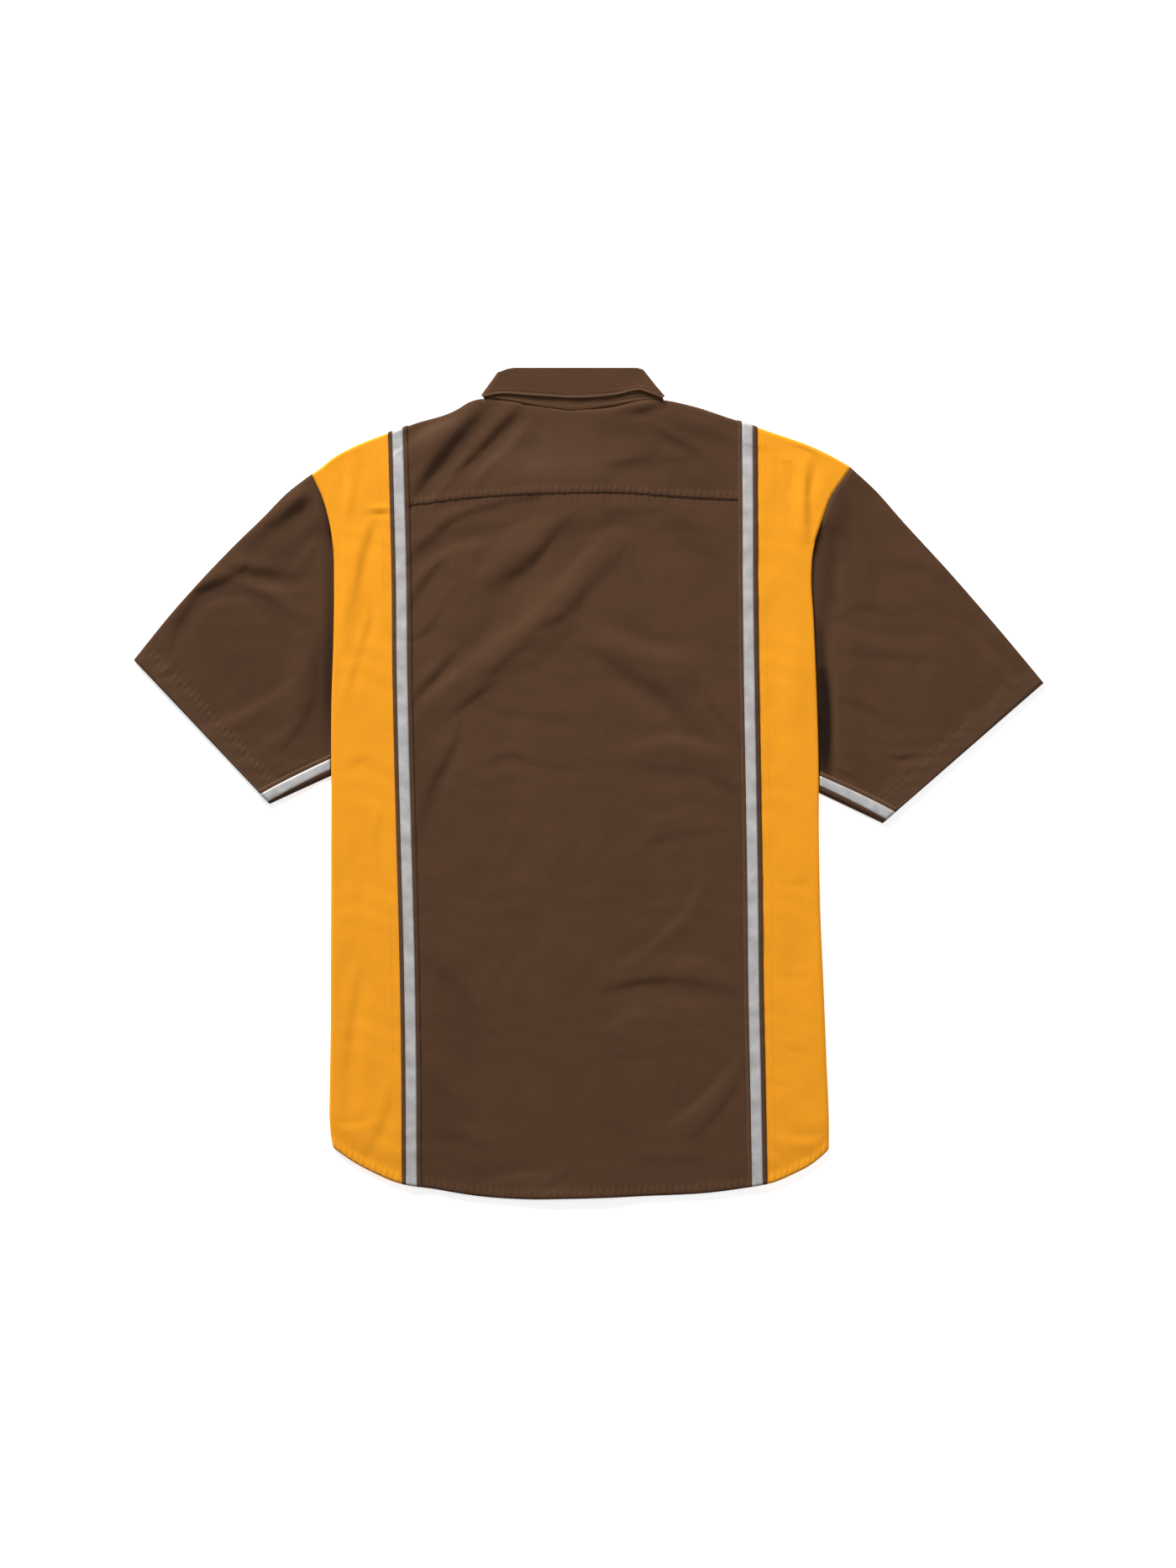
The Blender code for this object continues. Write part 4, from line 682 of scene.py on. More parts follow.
EDGE_DIP_X = (50.0, 110.0)
EDGE_DIP_WIDTH = 1.6
NECK_TUCK = 4.5
NECK_DIP = 1.3


def shoulder_radius(x):
    """Half the thickness of the shoulder fold."""
    y = follow(SHOULDER_AND_NECK, x) - BACK_HEIGHT / 2
    return (back_height(x, y) - wing_rise(x, y)) / 2


def at_neck(x):
    """Whether x lies under the collar."""
    return np.abs(x - COLLAR_X) < NECK_HALF


def roll_angle(step, angles=ROLL):
    """Angle round a fold at a whole number of steps, held past either end."""
    return np.radians(np.array(angles)[np.clip(step, 0, len(angles) - 1)])


def row_y(row, x, lift, angles):
    """Y of a body row at x: hem, yoke edge, shoulder fold, then back along the underside."""
    hem = follow(HEM, x)
    yoke_edge = follow(YOKE_EDGE, x)
    radius = np.where(at_neck(x), 0.0, shoulder_radius(x))
    top = follow(SHOULDER_AND_NECK, x) - radius
    y = between(hem, yoke_edge, np.clip(row / LOWER_ROWS, 0.0, 1.0))
    y = y + (top - yoke_edge) * np.clip((row - LOWER_ROWS) / UPPER_ROWS, 0.0, 1.0)
    angle = roll_angle(row - SHOULDER_ROW, angles)
    y = y + np.where(row > SHOULDER_ROW, (radius + lift) * np.cos(angle), 0.0)
    return y - SHOULDER_TURN * np.clip((row - SHOULDER_TURN_ROW) / TURN_ROWS, 0.0, 1.0)


def before_shoulder(row):
    """1 on the back, 0 from the shoulder fold on."""
    return fade(SHOULDER_ROW - 3, SHOULDER_ROW, row)


def place_on_body(x_at, row, lift=0.0, angles=ROLL):
    """Points of the columns x_at(y) at the given rows, lifted off the back by lift."""
    y = np.zeros(len(row))
    for _ in range(SETTLE):
        x = x_at(y)
        y = row_y(row, x, lift, angles)
    radius = shoulder_radius(x)
    angle = roll_angle(row - SHOULDER_ROW, angles)
    rolled = wing_rise(x, y) + radius + (radius + lift) * np.sin(angle)
    return x, y, np.where(row > SHOULDER_ROW, rolled, back_height(x, y) + lift)


def yoke_relief(x, y):
    """Folded edge, sunk stitch line and the puckers between them."""
    above = y - follow(YOKE_EDGE, x)
    folded = YOKE_RIDGE * fade(YOKE_STITCH, YOKE_STITCH + 3.0, above)
    folded = folded - bell(between(*EDGE_DIP, ease(*EDGE_DIP_X, x)), EDGE_DIP_WIDTH, above)
    puckered = pucker(x, *YOKE_PUCKER) * bell(*YOKE_PUCKERS, above - 0.5 * YOKE_STITCH)
    return folded + bell(*YOKE_GROOVE, above - YOKE_STITCH) + puckered


def place_yoke(column, row):
    """Layout of the yoke, from its lower edge over the shoulders, dipped under the collar's stand."""
    x, y, z = place_on_body(lambda at: centre_x(column, at), row + LOWER_ROWS)
    under_stand = ease(UPPER_ROWS - 1, UPPER_ROWS, row) * at_neck(x)
    y = y + NECK_TUCK * under_stand
    z = z - NECK_DIP * under_stand
    above = y - follow(YOKE_EDGE, x)
    flat_top = before_shoulder(row + LOWER_ROWS)
    # Abrasion along the folded edge, plus bands of painted light and shade along the folds.
    wear_and_shading = (bell(*YOKE_WORN, above) + creases_at(BACK_PAINTED_SHADING, x, y)) * flat_top
    gathered = bell(*YOKE_GATHER, above - 0.5 * YOKE_STITCH) * flat_top
    return x, y, z + yoke_relief(x, y) * flat_top, wear_and_shading, gathered


def below_neckline(column, row):
    """Whether a face of the yoke stays: beside the neck all do, at the neck those below its line."""
    return row < UPPER_ROWS or not (in_neck[column] or in_neck[column + 1])


neck_y = np.full(BACK_COLUMNS + 1, SHOULDER_AND_NECK[8][1])
in_neck = at_neck(centre_x(np.arange(BACK_COLUMNS + 1), neck_y))
back_yoke = lay_cloth("back_yoke", brown_twill, BACK_COLUMNS, UPPER_ROWS + len(ROLL) - 1 + TURN_ROWS,
                      place_yoke, keep=below_neckline)
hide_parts("back_yoke")

# ---------------------------------------------------------------- side panels
# Yellow-orange panels of the same weight of twill from hem to shoulder, joined to the back
# under the tapes. Each wraps round the side, to the side seam and to the armhole seam.
TURNED_EDGE_FLOOR = 2.9
SIDE_TURN = 20.0
ARMHOLE_TURN = 12.0
SIDE_COLUMNS = 26
TURN_COLUMNS = 5
SIDE_TURN_COLUMN = SIDE_COLUMNS + len(ROLL) - 1
ARMHOLE_ROW = 210
ARMHOLE_ROWS = 7
TURNED_EDGE_START = (-110.0, -55.0)
NARROWER_START = (-40.0, -8.0)
SIDE_HEM_WORN = (0.4, 1.5)
SIDE_HEM_GATHER = 0.5
YELLOW = (0.87, 0.335, 0.0150)
YELLOW_WORN = (0.93, 0.50, 0.12)
yellow_twill = dye_cloth("yellow_twill", YELLOW, YELLOW_WORN, sheen=0.03, mottle=0.96)


def turned_floor(side, y):
    """Height of the turned-under side edge: on the sleeve above the underarm, then on the surface."""
    return TURNED_EDGE_FLOOR * ease(*TURNED_EDGE_START, y - UNDERARM_Y[side])


def side_radius(side, y):
    """Half the thickness of the side fold."""
    x = side_edge(side, y) - OUTWARD[side] * BACK_HEIGHT / 2
    return (back_height(x, y) - turned_floor(side, y)) / 2


def side_panel_place(side):
    """Layout of a side panel, from the tape out to the side fold and under it."""
    out = OUTWARD[side]

    def place(column, row):
        share = np.clip(column / SIDE_COLUMNS, 0.0, 1.0)
        folded = fade(ARMHOLE_ROW, ARMHOLE_ROW + ARMHOLE_ROWS, row)
        angle = roll_angle(column - SIDE_COLUMNS)

        def x_at(y):
            start = follow(TAPE_LINE[side], y) + out * SEAM_GAP
            radius = folded * side_radius(side, y)
            end = side_edge(side, y) - out * radius
            width = between(SIDE_TURN, ARMHOLE_TURN, ease(*NARROWER_START, y - UNDERARM_Y[side]))
            turned = width * np.clip((column - SIDE_TURN_COLUMN) / TURN_COLUMNS, 0.0, 1.0)
            past_edge = out * (radius * np.cos(angle) - turned)
            return between(start, end, share) + np.where(share == 1.0, past_edge, 0.0)

        x, y, z = place_on_body(x_at, row)
        flat_top = before_shoulder(row)
        rolled = z - folded * side_radius(side, y) * (1.0 - np.sin(angle))
        rolled = np.maximum(rolled, turned_floor(side, y))
        z = np.where(column > SIDE_COLUMNS, rolled, z + hem_relief(x, y) * flat_top)
        above_hem = y - follow(HEM, x)
        wear_and_shading = bell(*SIDE_HEM_WORN, above_hem) * flat_top
        return x, y, z, wear_and_shading, SIDE_HEM_GATHER * hem_gather(above_hem) * flat_top

    return place


def inside_armhole(column, row):
    """Whether a face of a side panel stays: its turned edge ends at the armhole."""
    rolled = row < ARMHOLE_ROW + ARMHOLE_ROWS and column < SIDE_TURN_COLUMN
    return column < SIDE_COLUMNS or row < ARMHOLE_ROW or rolled


for side in OUTWARD:
    panel = lay_cloth(f"side_panel_{side}", yellow_twill, SIDE_TURN_COLUMN + TURN_COLUMNS,
                      SHOULDER_TURN_ROW + TURN_ROWS, side_panel_place(side),
                      keep=inside_armhole, sample=(8, 80))
    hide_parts(f"side_panel_{side}")

# ---------------------------------------------------------------- tapes and reflective strips
# Over each join runs a brown twill tape with a silver-grey reflective strip sewn down its
# middle. Both go over the shoulder with the panels and are stitched close to their edges.
TAPE_HALF = 9.6
FILM_HALF = 5.25
TAPE_SHOWN = 0.7
FILM_SHOWN = 0.35
TAPE_REST = 0.15
FILM_REST = 0.1
TAPE_LIFT = TAPE_REST + TAPE_SHOWN
FILM_LIFT = TAPE_LIFT + FILM_REST + FILM_SHOWN
STRIP_EDGE_DROP = 0.2
STRIP_EDGE_WORN = 0.35
TAPE_COLUMNS = 8
FILM_COLUMNS = 6
SILVER = (0.51, 0.50, 0.497)
TAPE_BROWN = (0.090, 0.045, 0.024)
tape_cloth = dye_cloth("tape_cloth", TAPE_BROWN, BROWN_WORN_AND_LIT, twill=0.45)


def two_tone(tree, source, dark, light, dark_at=0.3, light_at=0.7):
    """A colour that turns from dark to light as its source rises."""
    ramp = add_node(tree, "ValToRGB", {"Fac": source})
    for element, position, tone in zip(ramp.color_ramp.elements, (dark_at, light_at), (dark, light)):
        element.position = position
        element.color = tone
    return ramp.outputs["Color"]


def coat_film(name, colour):
    """Reflective strip: a bead-coated grey film, evenly grained, with soft scuffs and a slight gloss."""
    material, tree, shader = new_material(name)
    uv = cloth_uv(tree)
    scuffs = add_node(tree, "TexNoise", {"Scale": 70.0, "Detail": 5.0, "Vector": uv}).outputs["Fac"]
    beads = add_node(tree, "TexVoronoi", {"Scale": 1500.0, "Vector": uv}).outputs["Distance"]
    set_inputs(tree, shader, {
        "Base Color": two_tone(tree, scuffs, shade(colour, 0.8), shade(colour, 1.12)),
        "Metallic": 0.25, "Roughness": 0.55, "Specular IOR Level": 0.4,
        "Normal": bump(tree, beads, 0.25, 0.1),
    })
    return material


reflective_film = coat_film("reflective_film", SILVER)


def strip_relief(x, y, seed):
    """Crosswise dents where the cloth under a strip gathers and the strip bends with it."""
    dents = np.sin(y / 9.3 + 2.2 * np.sin(y / 37.0 + seed)) * (0.5 + 0.5 * np.sin(y / 53.0 + 1.9 * seed))
    return 0.28 * dents + 0.12 * np.sin(y / 3.9 + 1.5 * np.sin(y / 11.0 + seed))


def strip_edge(offset):
    """How far a strip turns down toward its edges, and how abraded it is there; they are at -1 and 1."""
    return -STRIP_EDGE_DROP * np.abs(offset) ** 6, STRIP_EDGE_WORN * np.abs(offset) ** 10


def lay_body_strip(name, side, material, half_width, columns, lift, wall):
    """A strip along a join, from the hem to just past the shoulder fold."""
    offsets = np.linspace(-half_width, half_width, columns + 1)

    def place(column, row):
        def x_at(y):
            return follow(TAPE_LINE[side], y) + offsets[column]

        x, y, z = place_on_body(x_at, row, lift, TAPE_ROLL)
        flat_top = before_shoulder(row)
        turned, wear_and_shading = strip_edge(offsets[column] / half_width)
        z = z + (strip_relief(x, y, 1.0 + OUTWARD[side]) + hem_relief(x, y) + turned) * flat_top
        return x, y, z, wear_and_shading * flat_top, 0.0

    return lay_cloth(name, material, columns, SHOULDER_ROW + len(TAPE_ROLL) - 1, place, wall)


for side in OUTWARD:
    tape = lay_body_strip(f"tape_{side}", side, tape_cloth, TAPE_HALF, TAPE_COLUMNS, TAPE_LIFT, TAPE_SHOWN)
    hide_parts(f"tape_{side}")
    film = lay_body_strip(f"reflective_{side}", side, reflective_film, FILM_HALF, FILM_COLUMNS,
                          FILM_LIFT, FILM_SHOWN)
    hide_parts(f"reflective_{side}")

# ---------------------------------------------------------------- sleeves
# Short brown sleeves, each a flattened tube set into the armhole and lying tucked under the
# side panel below its seam. The hem is turned in about 20 mm and stitched once.
SLEEVE_TUCK = 11.0
SLEEVE_CORNERS = {
    "left": ((-270.1, 302.6), (-240.6, 13.0), (-443.2, 121.2), (-310.4, -19.5)),
    "right": ((258.0, 309.2), (214.2, -3.4), (444.6, 98.8), (287.4, -38.3)),
}
SLEEVE_CROWN = {  # share of the length, how far the upper fold bows out
    "left": ((0.0, 0.0), (0.12, 4.4), (0.25, 4.8), (0.4, 6.2), (0.6, 6.2), (0.75, 5.0), (1.0, 0.0)),
    "right": ((0.0, 0.0), (0.12, 3.0), (0.25, 2.6), (0.5, 3.2), (0.75, 2.2), (1.0, 0.0)),
}
SLEEVE_HEIGHT = 3.8
SLEEVE_LOW = 2.6
SLEEVE_CREASES = {  # x0, y0, x1, y1, x2, y2, half_width, height, drop
    "left": (
        # broad folds
        (-264, 294, -288, 275, -315, 250, 14, 1.4, 0), (-262, 270, -282, 256, -305, 238, 14, -0.9, 0),
        (-390, 194, -350, 208, -296, 206, 16, 1, 0), (-380, 178, -345, 190, -300, 192, 14, -0.8, 0),
        (-275, 140, -280, 100, -300, 60, 20, 1.2, 0), (-330, 150, -318, 90, -300, 40, 30, 0.8, 0),
        (-400, 130, -380, 96, -352, 62, 24, 0.8, 0),
        # steeper falls and rises
        (-256, 292, -278, 275, -302, 258, 12, 0, 2.7), (-300, 258, -318, 243, -330, 224, 14, 0, 1.5),
        (-268, 298, -282, 290, -296, 277, 8, 0, -0.9), (-350, 214, -325, 208, -290, 204, 12, 0, 2.2),
        (-388, 186, -366, 194, -342, 206, 12, 0, 2.5), (-378, 184, -396, 162, -406, 136, 12, 0, 1.8),
        (-338, 199, -312, 193, -282, 190, 9, 0, -0.8), (-344, 192, -312, 182, -286, 160, 10, 0, 1.9),
        (-251, 246, -262, 232, -269, 218, 7, 0, 1.1), (-262, 246, -278, 225, -288, 208, 7, 0, -0.6),
        (-252, 222, -262, 204, -264, 176, 8, 0, 0.7), (-254, 142, -262, 116, -264, 92, 12, 0, 2),
        (-258, 96, -270, 72, -290, 44, 15, 0, 1.9), (-294, 96, -335, 70, -378, 52, 13, 0, -1.2),
        (-272, 68, -300, 50, -334, 28, 10, 0, -0.6), (-250, 42, -258, 35, -266, 27, 6, 0, -0.7),
        (-264, 24, -284, 13, -302, 7, 6, 0, 0.8), (-404, 114, -409, 109, -416, 105, 5, 0, 0.8),
        (-360, 130, -340, 136, -316, 128, 14, 0, -0.3),
    ),
    "right": (
        # broad folds
        (250, 292, 256, 262, 256, 226, 12, 1, 0), (248, 160, 252, 90, 256, 25, 20, 1.7, 0),
        (256, 240, 262, 205, 262, 172, 14, 0.9, 0), (330, 190, 350, 130, 340, 70, 30, 0.9, 0),
        # steeper falls and rises
        (236, 170, 238, 95, 241, 16, 8, 0, -1.4), (242, 262, 246, 225, 244, 180, 9, 0, -1.6),
        (243, 294, 251, 262, 250, 222, 9, 0, 1), (234, 267, 240, 264, 248, 261, 4, 0, 0.7),
        (226, 244, 232, 241, 238, 234, 4, 0, 0.8), (270, 238, 278, 205, 276, 168, 10, 0, 1),
        (250, 166, 268, 172, 288, 168, 10, 0, 0.9), (300, 214, 322, 212, 344, 200, 12, 0, 1),
        (248, 152, 290, 141, 338, 141, 12, 0, -0.5), (248, 129, 285, 126, 334, 121, 9, 0, 0.6),
        (370, 150, 394, 126, 408, 104, 10, 0, -1.2), (392, 158, 408, 138, 422, 118, 8, 0, -0.6),
        (408, 99, 418, 91, 427, 84, 6, 0, 0.7), (248, 83, 270, 75, 295, 60, 9, 0, 0.8),
        (292, 27, 307, 26, 324, 28, 6, 0, 1.3), (230, 21, 247, 12, 264, 4, 6, 0, 1),
        (284, -6, 310, 17, 334, 38, 8, 0, -0.5),
    ),
}
# Painted shade on the sleeves: darker bands where each sleeve dips under the side panel's edge, along its
# folds, and broadly over the left sleeve.
SLEEVE_PAINTED_SHADE = {  # x0, y0, x1, y1, x2, y2, half_width, painted light (painted shade if below nothing), no drop
    "left": (
        (-256, 148, -258, 90, -276, 40, 28, -0.3, 0), (-252, 240, -251, 140, -254, 34, 10, -0.5, 0),
        (-345, 222, -320, 224, -286, 216, 26, -0.22, 0), (-398, 150, -345, 130, -290, 118, 75, -0.16, 0),
        (-305, 200, -285, 250, -270, 280, 30, -0.2, 0), (-264, 294, -255, 264, -252, 236, 6, -0.45, 0),
        (-404, 142, -372, 186, -330, 184, 13, -0.2, 0), (-340, 190, -312, 172, -292, 148, 12, -0.2, 0),
    ),
    "right": (
        (250, 292, 247, 258, 243, 222, 13, -0.4, 0), (235, 246, 233, 200, 231, 150, 13, -0.4, 0),
        (225, 160, 227, 124, 229, 92, 8, -0.7, 0), (229, 108, 231, 62, 231, 6, 10.5, -1.5, 0),
    ),
}
SLEEVE_HEM_PALER = 0.14
SLEEVE_ROWS = 62
SLEEVE_TOP_COLUMNS = 96
SLEEVE_UNDER_COLUMNS = 40
SLEEVE_HEM_DEPTH = 20.0
SLEEVE_HEM_STITCH = SLEEVE_HEM_DEPTH - 1.5
SLEEVE_RIDGE = 0.6
SLEEVE_GROOVE = (-0.55, 1.2)
SLEEVE_PUCKER = (16.0, 3.3)
SLEEVE_PUCKER_STRETCH = 1.3
SLEEVE_PUCKERS = (0.3, 7.0)
SLEEVE_GATHER = (0.3, 4.0)
SLEEVE_WORN = (0.5, 1.5)
TUCK_END_Y = (205.0, 235.0)
TUCK_SLOPE = (6.0, 40.0)
OPEN_SEAM_START_Y = (236.0, 262.0)
OPEN_SEAM_SLOPE = (0.0, 45.0)
SLEEVE_CALM = (6.0, 24.0)
SLEEVE_FOLD_INSET = 2.0
FOLD_CALM = (0.0, 6.0)
# The body's brown made a little darker: painted shade over both sleeves.
SLEEVE_BROWN_SHADED = (0.084, 0.0400, 0.0200)
sleeve_twill = dye_cloth("sleeve_twill", SLEEVE_BROWN_SHADED, BROWN_WORN_AND_LIT)


def armhole(side, y):
    """Where the sleeve ends: at the seam high up, tucked under the side panel lower down."""
    tucked = fade(*TUCK_END_Y, y)
    return side_edge(side, y) + OUTWARD[side] * (0.3 * GAP - (SLEEVE_TUCK + 0.3 * GAP) * tucked)


def direction(start, end):
    """Unit vector from one point of the plan to another."""
    run = np.array(end) - np.array(start)
    return run / np.hypot(*run)


def sleeve_plan(side, share, distance, from_top=False):
    """Point on a sleeve at a share of its length, a distance in from its lower or upper fold."""
    top_in, low_in, top_out, low_out = SLEEVE_CORNERS[side]
    low_x = between(low_in[0], low_out[0], share)
    low_y = between(low_in[1], low_out[1], share)
    run = direction(top_in, top_out)
    bow = OUTWARD[side] * follow(SLEEVE_CROWN[side], share)
    top_x = between(top_in[0], top_out[0], share) - bow * run[1]
    top_y = between(top_in[1], top_out[1], share) + bow * run[0]
    width = np.hypot(top_x - low_x, top_y - low_y)
    across = 1.0 - distance / width if from_top else distance / width
    seam_x = between(low_in[0], top_in[0], across)
    seam_y = between(low_in[1], top_in[1], across)
    to_armhole = armhole(side, seam_y) - seam_x
    x = between(low_x, top_x, across) + to_armhole * (1.0 - share) ** 2
    return x, between(low_y, top_y, across), width


def sleeve_height(side, x, y):
    """Upper face of a sleeve: low where it is tucked in, as high as the body along the open seam."""
    beyond = OUTWARD[side] * (x - side_edge(side, y))
    tucked = fade(*TUCK_SLOPE, beyond) * fade(*OPEN_SEAM_START_Y, y)
    seam = fade(*OPEN_SEAM_SLOPE, beyond) * ease(*OPEN_SEAM_START_Y, y)
    height = between(SLEEVE_HEIGHT, SLEEVE_LOW, tucked)
    height = height + (BACK_HEIGHT + ARMHOLE_RISE - SLEEVE_HEIGHT) * seam
    creased = creases_at(SLEEVE_CREASES[side], x, y) + undulation(x + 90.0, y - 40.0)
    return held_above(height + creased * ease(*SLEEVE_CALM, beyond), SLEEVE_LOW)


def sleeve_hem_inset(side, x, y):
    """Distance of a point from the hem edge of its sleeve."""
    _, _, top_out, low_out = SLEEVE_CORNERS[side]
    run = direction(low_out, top_out)
    return np.abs((x - low_out[0]) * run[1] - (y - low_out[1]) * run[0])


def sleeve_relief(side, x, y):
    """Turned hem: doubled cloth out to the edge, with a sunk, slightly gathered stitch line."""
    inset = sleeve_hem_inset(side, x, y)
    doubled = SLEEVE_RIDGE * fade(SLEEVE_HEM_DEPTH, SLEEVE_HEM_DEPTH + 2.5, inset)
    puckered = pucker(y * SLEEVE_PUCKER_STRETCH, *SLEEVE_PUCKER)
    puckered = puckered * bell(*SLEEVE_PUCKERS, inset - SLEEVE_HEM_DEPTH + 4.0)
    return doubled + bell(*SLEEVE_GROOVE, inset - SLEEVE_HEM_STITCH) + puckered


def place_sleeve(side):
    """Layout of a sleeve: columns run round it, rows from the armhole out to the hem."""
    roll = len(ROLL) - 1
    top_end = SLEEVE_TOP_COLUMNS
    under_start = top_end + roll
    under_end = under_start + SLEEVE_UNDER_COLUMNS

    def place(column, row):
        share = row / SLEEVE_ROWS
        _, _, width = sleeve_plan(side, share, np.zeros(len(row)))
        inset = np.full(len(row), SLEEVE_FOLD_INSET)
        low_x, low_y, _ = sleeve_plan(side, share, inset)
        high_x, high_y, _ = sleeve_plan(side, share, inset, True)
        low_radius = sleeve_height(side, low_x, low_y) / 2
        high_radius = sleeve_height(side, high_x, high_y) / 2
        top_share = np.clip(column / SLEEVE_TOP_COLUMNS, 0.0, 1.0)
        distance = between(low_radius, width - high_radius, top_share)
        high_angle = roll_angle(column - top_end)
        distance = distance + np.where(column > top_end, high_radius * np.cos(high_angle), 0.0)
        under_share = np.clip((column - under_start) / SLEEVE_UNDER_COLUMNS, 0.0, 1.0)
        under = between(width - high_radius, low_radius, under_share)
        distance = np.where(column > under_start, under, distance)
        low_angle = roll_angle(roll - (column - under_end))
        distance = np.where(column > under_end, low_radius * (1.0 - np.cos(low_angle)), distance)
        x, y, _ = sleeve_plan(side, share, distance)
        inner = ease(*FOLD_CALM, distance - low_radius) * ease(*FOLD_CALM, width - high_radius - distance)
        z = sleeve_height(side, x, y) + sleeve_relief(side, x, y) * inner
        z = np.where(column > top_end, high_radius * (1.0 + np.sin(high_angle)), z)
        z = np.where(column > under_start, 0.0, z)
        z = np.where(column > under_end, low_radius * (1.0 + np.sin(low_angle)), z)
        z = np.where((column == 0) | (column == under_end + roll), 2.0 * low_radius, z)
        z = np.where(column == top_end, 2.0 * high_radius, z)
        inset = sleeve_hem_inset(side, x, y)
        # Abrasion at the hem, plus painted shade beside the body's edge and in the folds of the upper face.
        wear_and_shading = bell(*SLEEVE_WORN, inset) + creases_at(SLEEVE_PAINTED_SHADE[side], x, y) * (column <= top_end)
        wear_and_shading = wear_and_shading + SLEEVE_HEM_PALER * fade(SLEEVE_HEM_DEPTH - 1.0, SLEEVE_HEM_DEPTH + 1.0, inset)
        return x, y, z, wear_and_shading, bell(*SLEEVE_GATHER, inset - SLEEVE_HEM_DEPTH + 2.0)

    return place


for side in OUTWARD:
    around = SLEEVE_TOP_COLUMNS + SLEEVE_UNDER_COLUMNS + 2 * (len(ROLL) - 1)
    sleeve = lay_cloth(f"sleeve_{side}", sleeve_twill, around, SLEEVE_ROWS, place_sleeve(side), joined=True)
    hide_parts(f"sleeve_{side}")

# ---------------------------------------------------------------- strips across the sleeves
# The same tape and reflective strip cross each sleeve beside its lower fold, from the side
# panel's edge out to the hem.
STRIP_LOW = {"left": (7.0, 3.2), "right": (7.5, 5.4)}
STRIP_HIGH = {"left": (16.8, 13.2), "right": (16.6, 16.4)}
SLEEVE_TAPE_LOW = 2.4
SLEEVE_TAPE_MARGIN = 4.6
STRIP_BODY_GAP = 0.7
STRIP_ROWS = 22
STRIP_REST = 0.3
STRIP_START_SHARE = 0.2
HALVINGS = 24


def strip_start(side, distance):
    """Share of the sleeve's length at which a strip comes out from beside the body."""
    low = np.zeros(len(distance))
    high = np.ones(len(distance))
    for _ in range(HALVINGS):
        middle = (low + high) / 2
        x, y, _ = sleeve_plan(side, middle, distance)
        inside = OUTWARD[side] * (x - side_edge(side, y)) < STRIP_BODY_GAP
        low = np.where(inside, middle, low)
        high = np.where(inside, high, middle)
    return high


def lay_sleeve_strip(name, side, material, is_film, columns, lift, wall):
    """A strip along a sleeve's lower fold; the film's edges, or the tape's outside them."""
    def edges(share):
        film_low = between(*STRIP_LOW[side], share)
        film_high = between(*STRIP_HIGH[side], share)
        if is_film:
            return film_low, film_high
        return SLEEVE_TAPE_LOW, film_high + SLEEVE_TAPE_MARGIN

    def place(column, row):
        across = column / columns
        start = strip_start(side, between(*edges(STRIP_START_SHARE), across))
        share = between(start, 1.0, row / STRIP_ROWS)
        distance = between(*edges(share), across)
        x, y, _ = sleeve_plan(side, share, distance)
        calm = ease(*FOLD_CALM, distance - SLEEVE_FOLD_INSET)
        z = sleeve_height(side, x, y) + sleeve_relief(side, x, y) * calm
        turned, wear_and_shading = strip_edge(2.0 * across - 1.0)
        return x, y, z + lift + 0.5 * strip_relief(x, x, 2.0) + turned, wear_and_shading, 0.0

    return lay_cloth(name, material, columns, STRIP_ROWS, place, wall)


for side in OUTWARD:
    tape_lift = STRIP_REST + TAPE_SHOWN
    tape = lay_sleeve_strip(f"sleeve_tape_{side}", side, tape_cloth, False, TAPE_COLUMNS,
                            tape_lift, TAPE_SHOWN)
    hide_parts(f"sleeve_tape_{side}")
    film = lay_sleeve_strip(f"sleeve_reflective_{side}", side, reflective_film, True, FILM_COLUMNS,
                            tape_lift + FILM_REST + FILM_SHOWN, FILM_SHOWN)
    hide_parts(f"sleeve_reflective_{side}")

# ---------------------------------------------------------------- collar stand
# A band of twill sewn round the neckline, lying flat at the back of the neck. A crescent of
# it shows between the leaf and the neck seam, with a small join mark at centre back.
COLLAR_STAND_TOP = 5.4
STAND_STATIONS = (  # fold x, fold y, seam x, seam y, from centre front to centre back
    (-15.6, 305.1, -24.0, 290.8), (-49.6, 336.5, -66.0, 311.5), (-67.4, 360.3, -82.2, 332.6),
    (-79.3, 379.2, -93.0, 350.0), (-87.4, 397.6, -98.2, 377.6), (-72.0, 403.6, -77.0, 373.9),
    (-54.0, 404.0, -54.0, 369.4), (-34.0, 404.0, -33.0, 366.2), (-13.2, 404.0, -13.2, 364.6),
)
STAND_RIGHT_SIDE = ((55.2, 398.8, 71.0, 376.8),)
SIDE_STATION = 4
SIDE_SLANT = 1.1
COLLAR_SPACING = 3.2
COLLAR_GATHER = (0.35, 2.0)
SEAM_GROOVE_AT = 3.0
SEAM_GROOVE = (-0.3, 0.6)
STAND_COLUMNS = 30
ALLOWANCE_RIDGE = 0.25
JOIN_X = -11.4
JOIN_STEP = 2.2
JOIN_RIDGE = (0.2, 1.2)
JOIN_WORN = (0.35, 0.6)
STAND_WORN = (0.2, 1.0)


def mirror_stations(stations):
    """The other half of a collar piece, from centre back to the front end."""
    middle = 2 * COLLAR_X
    return tuple((middle - fx, fy, middle - ex, ey) for fx, fy, ex, ey in reversed(stations[:-1]))


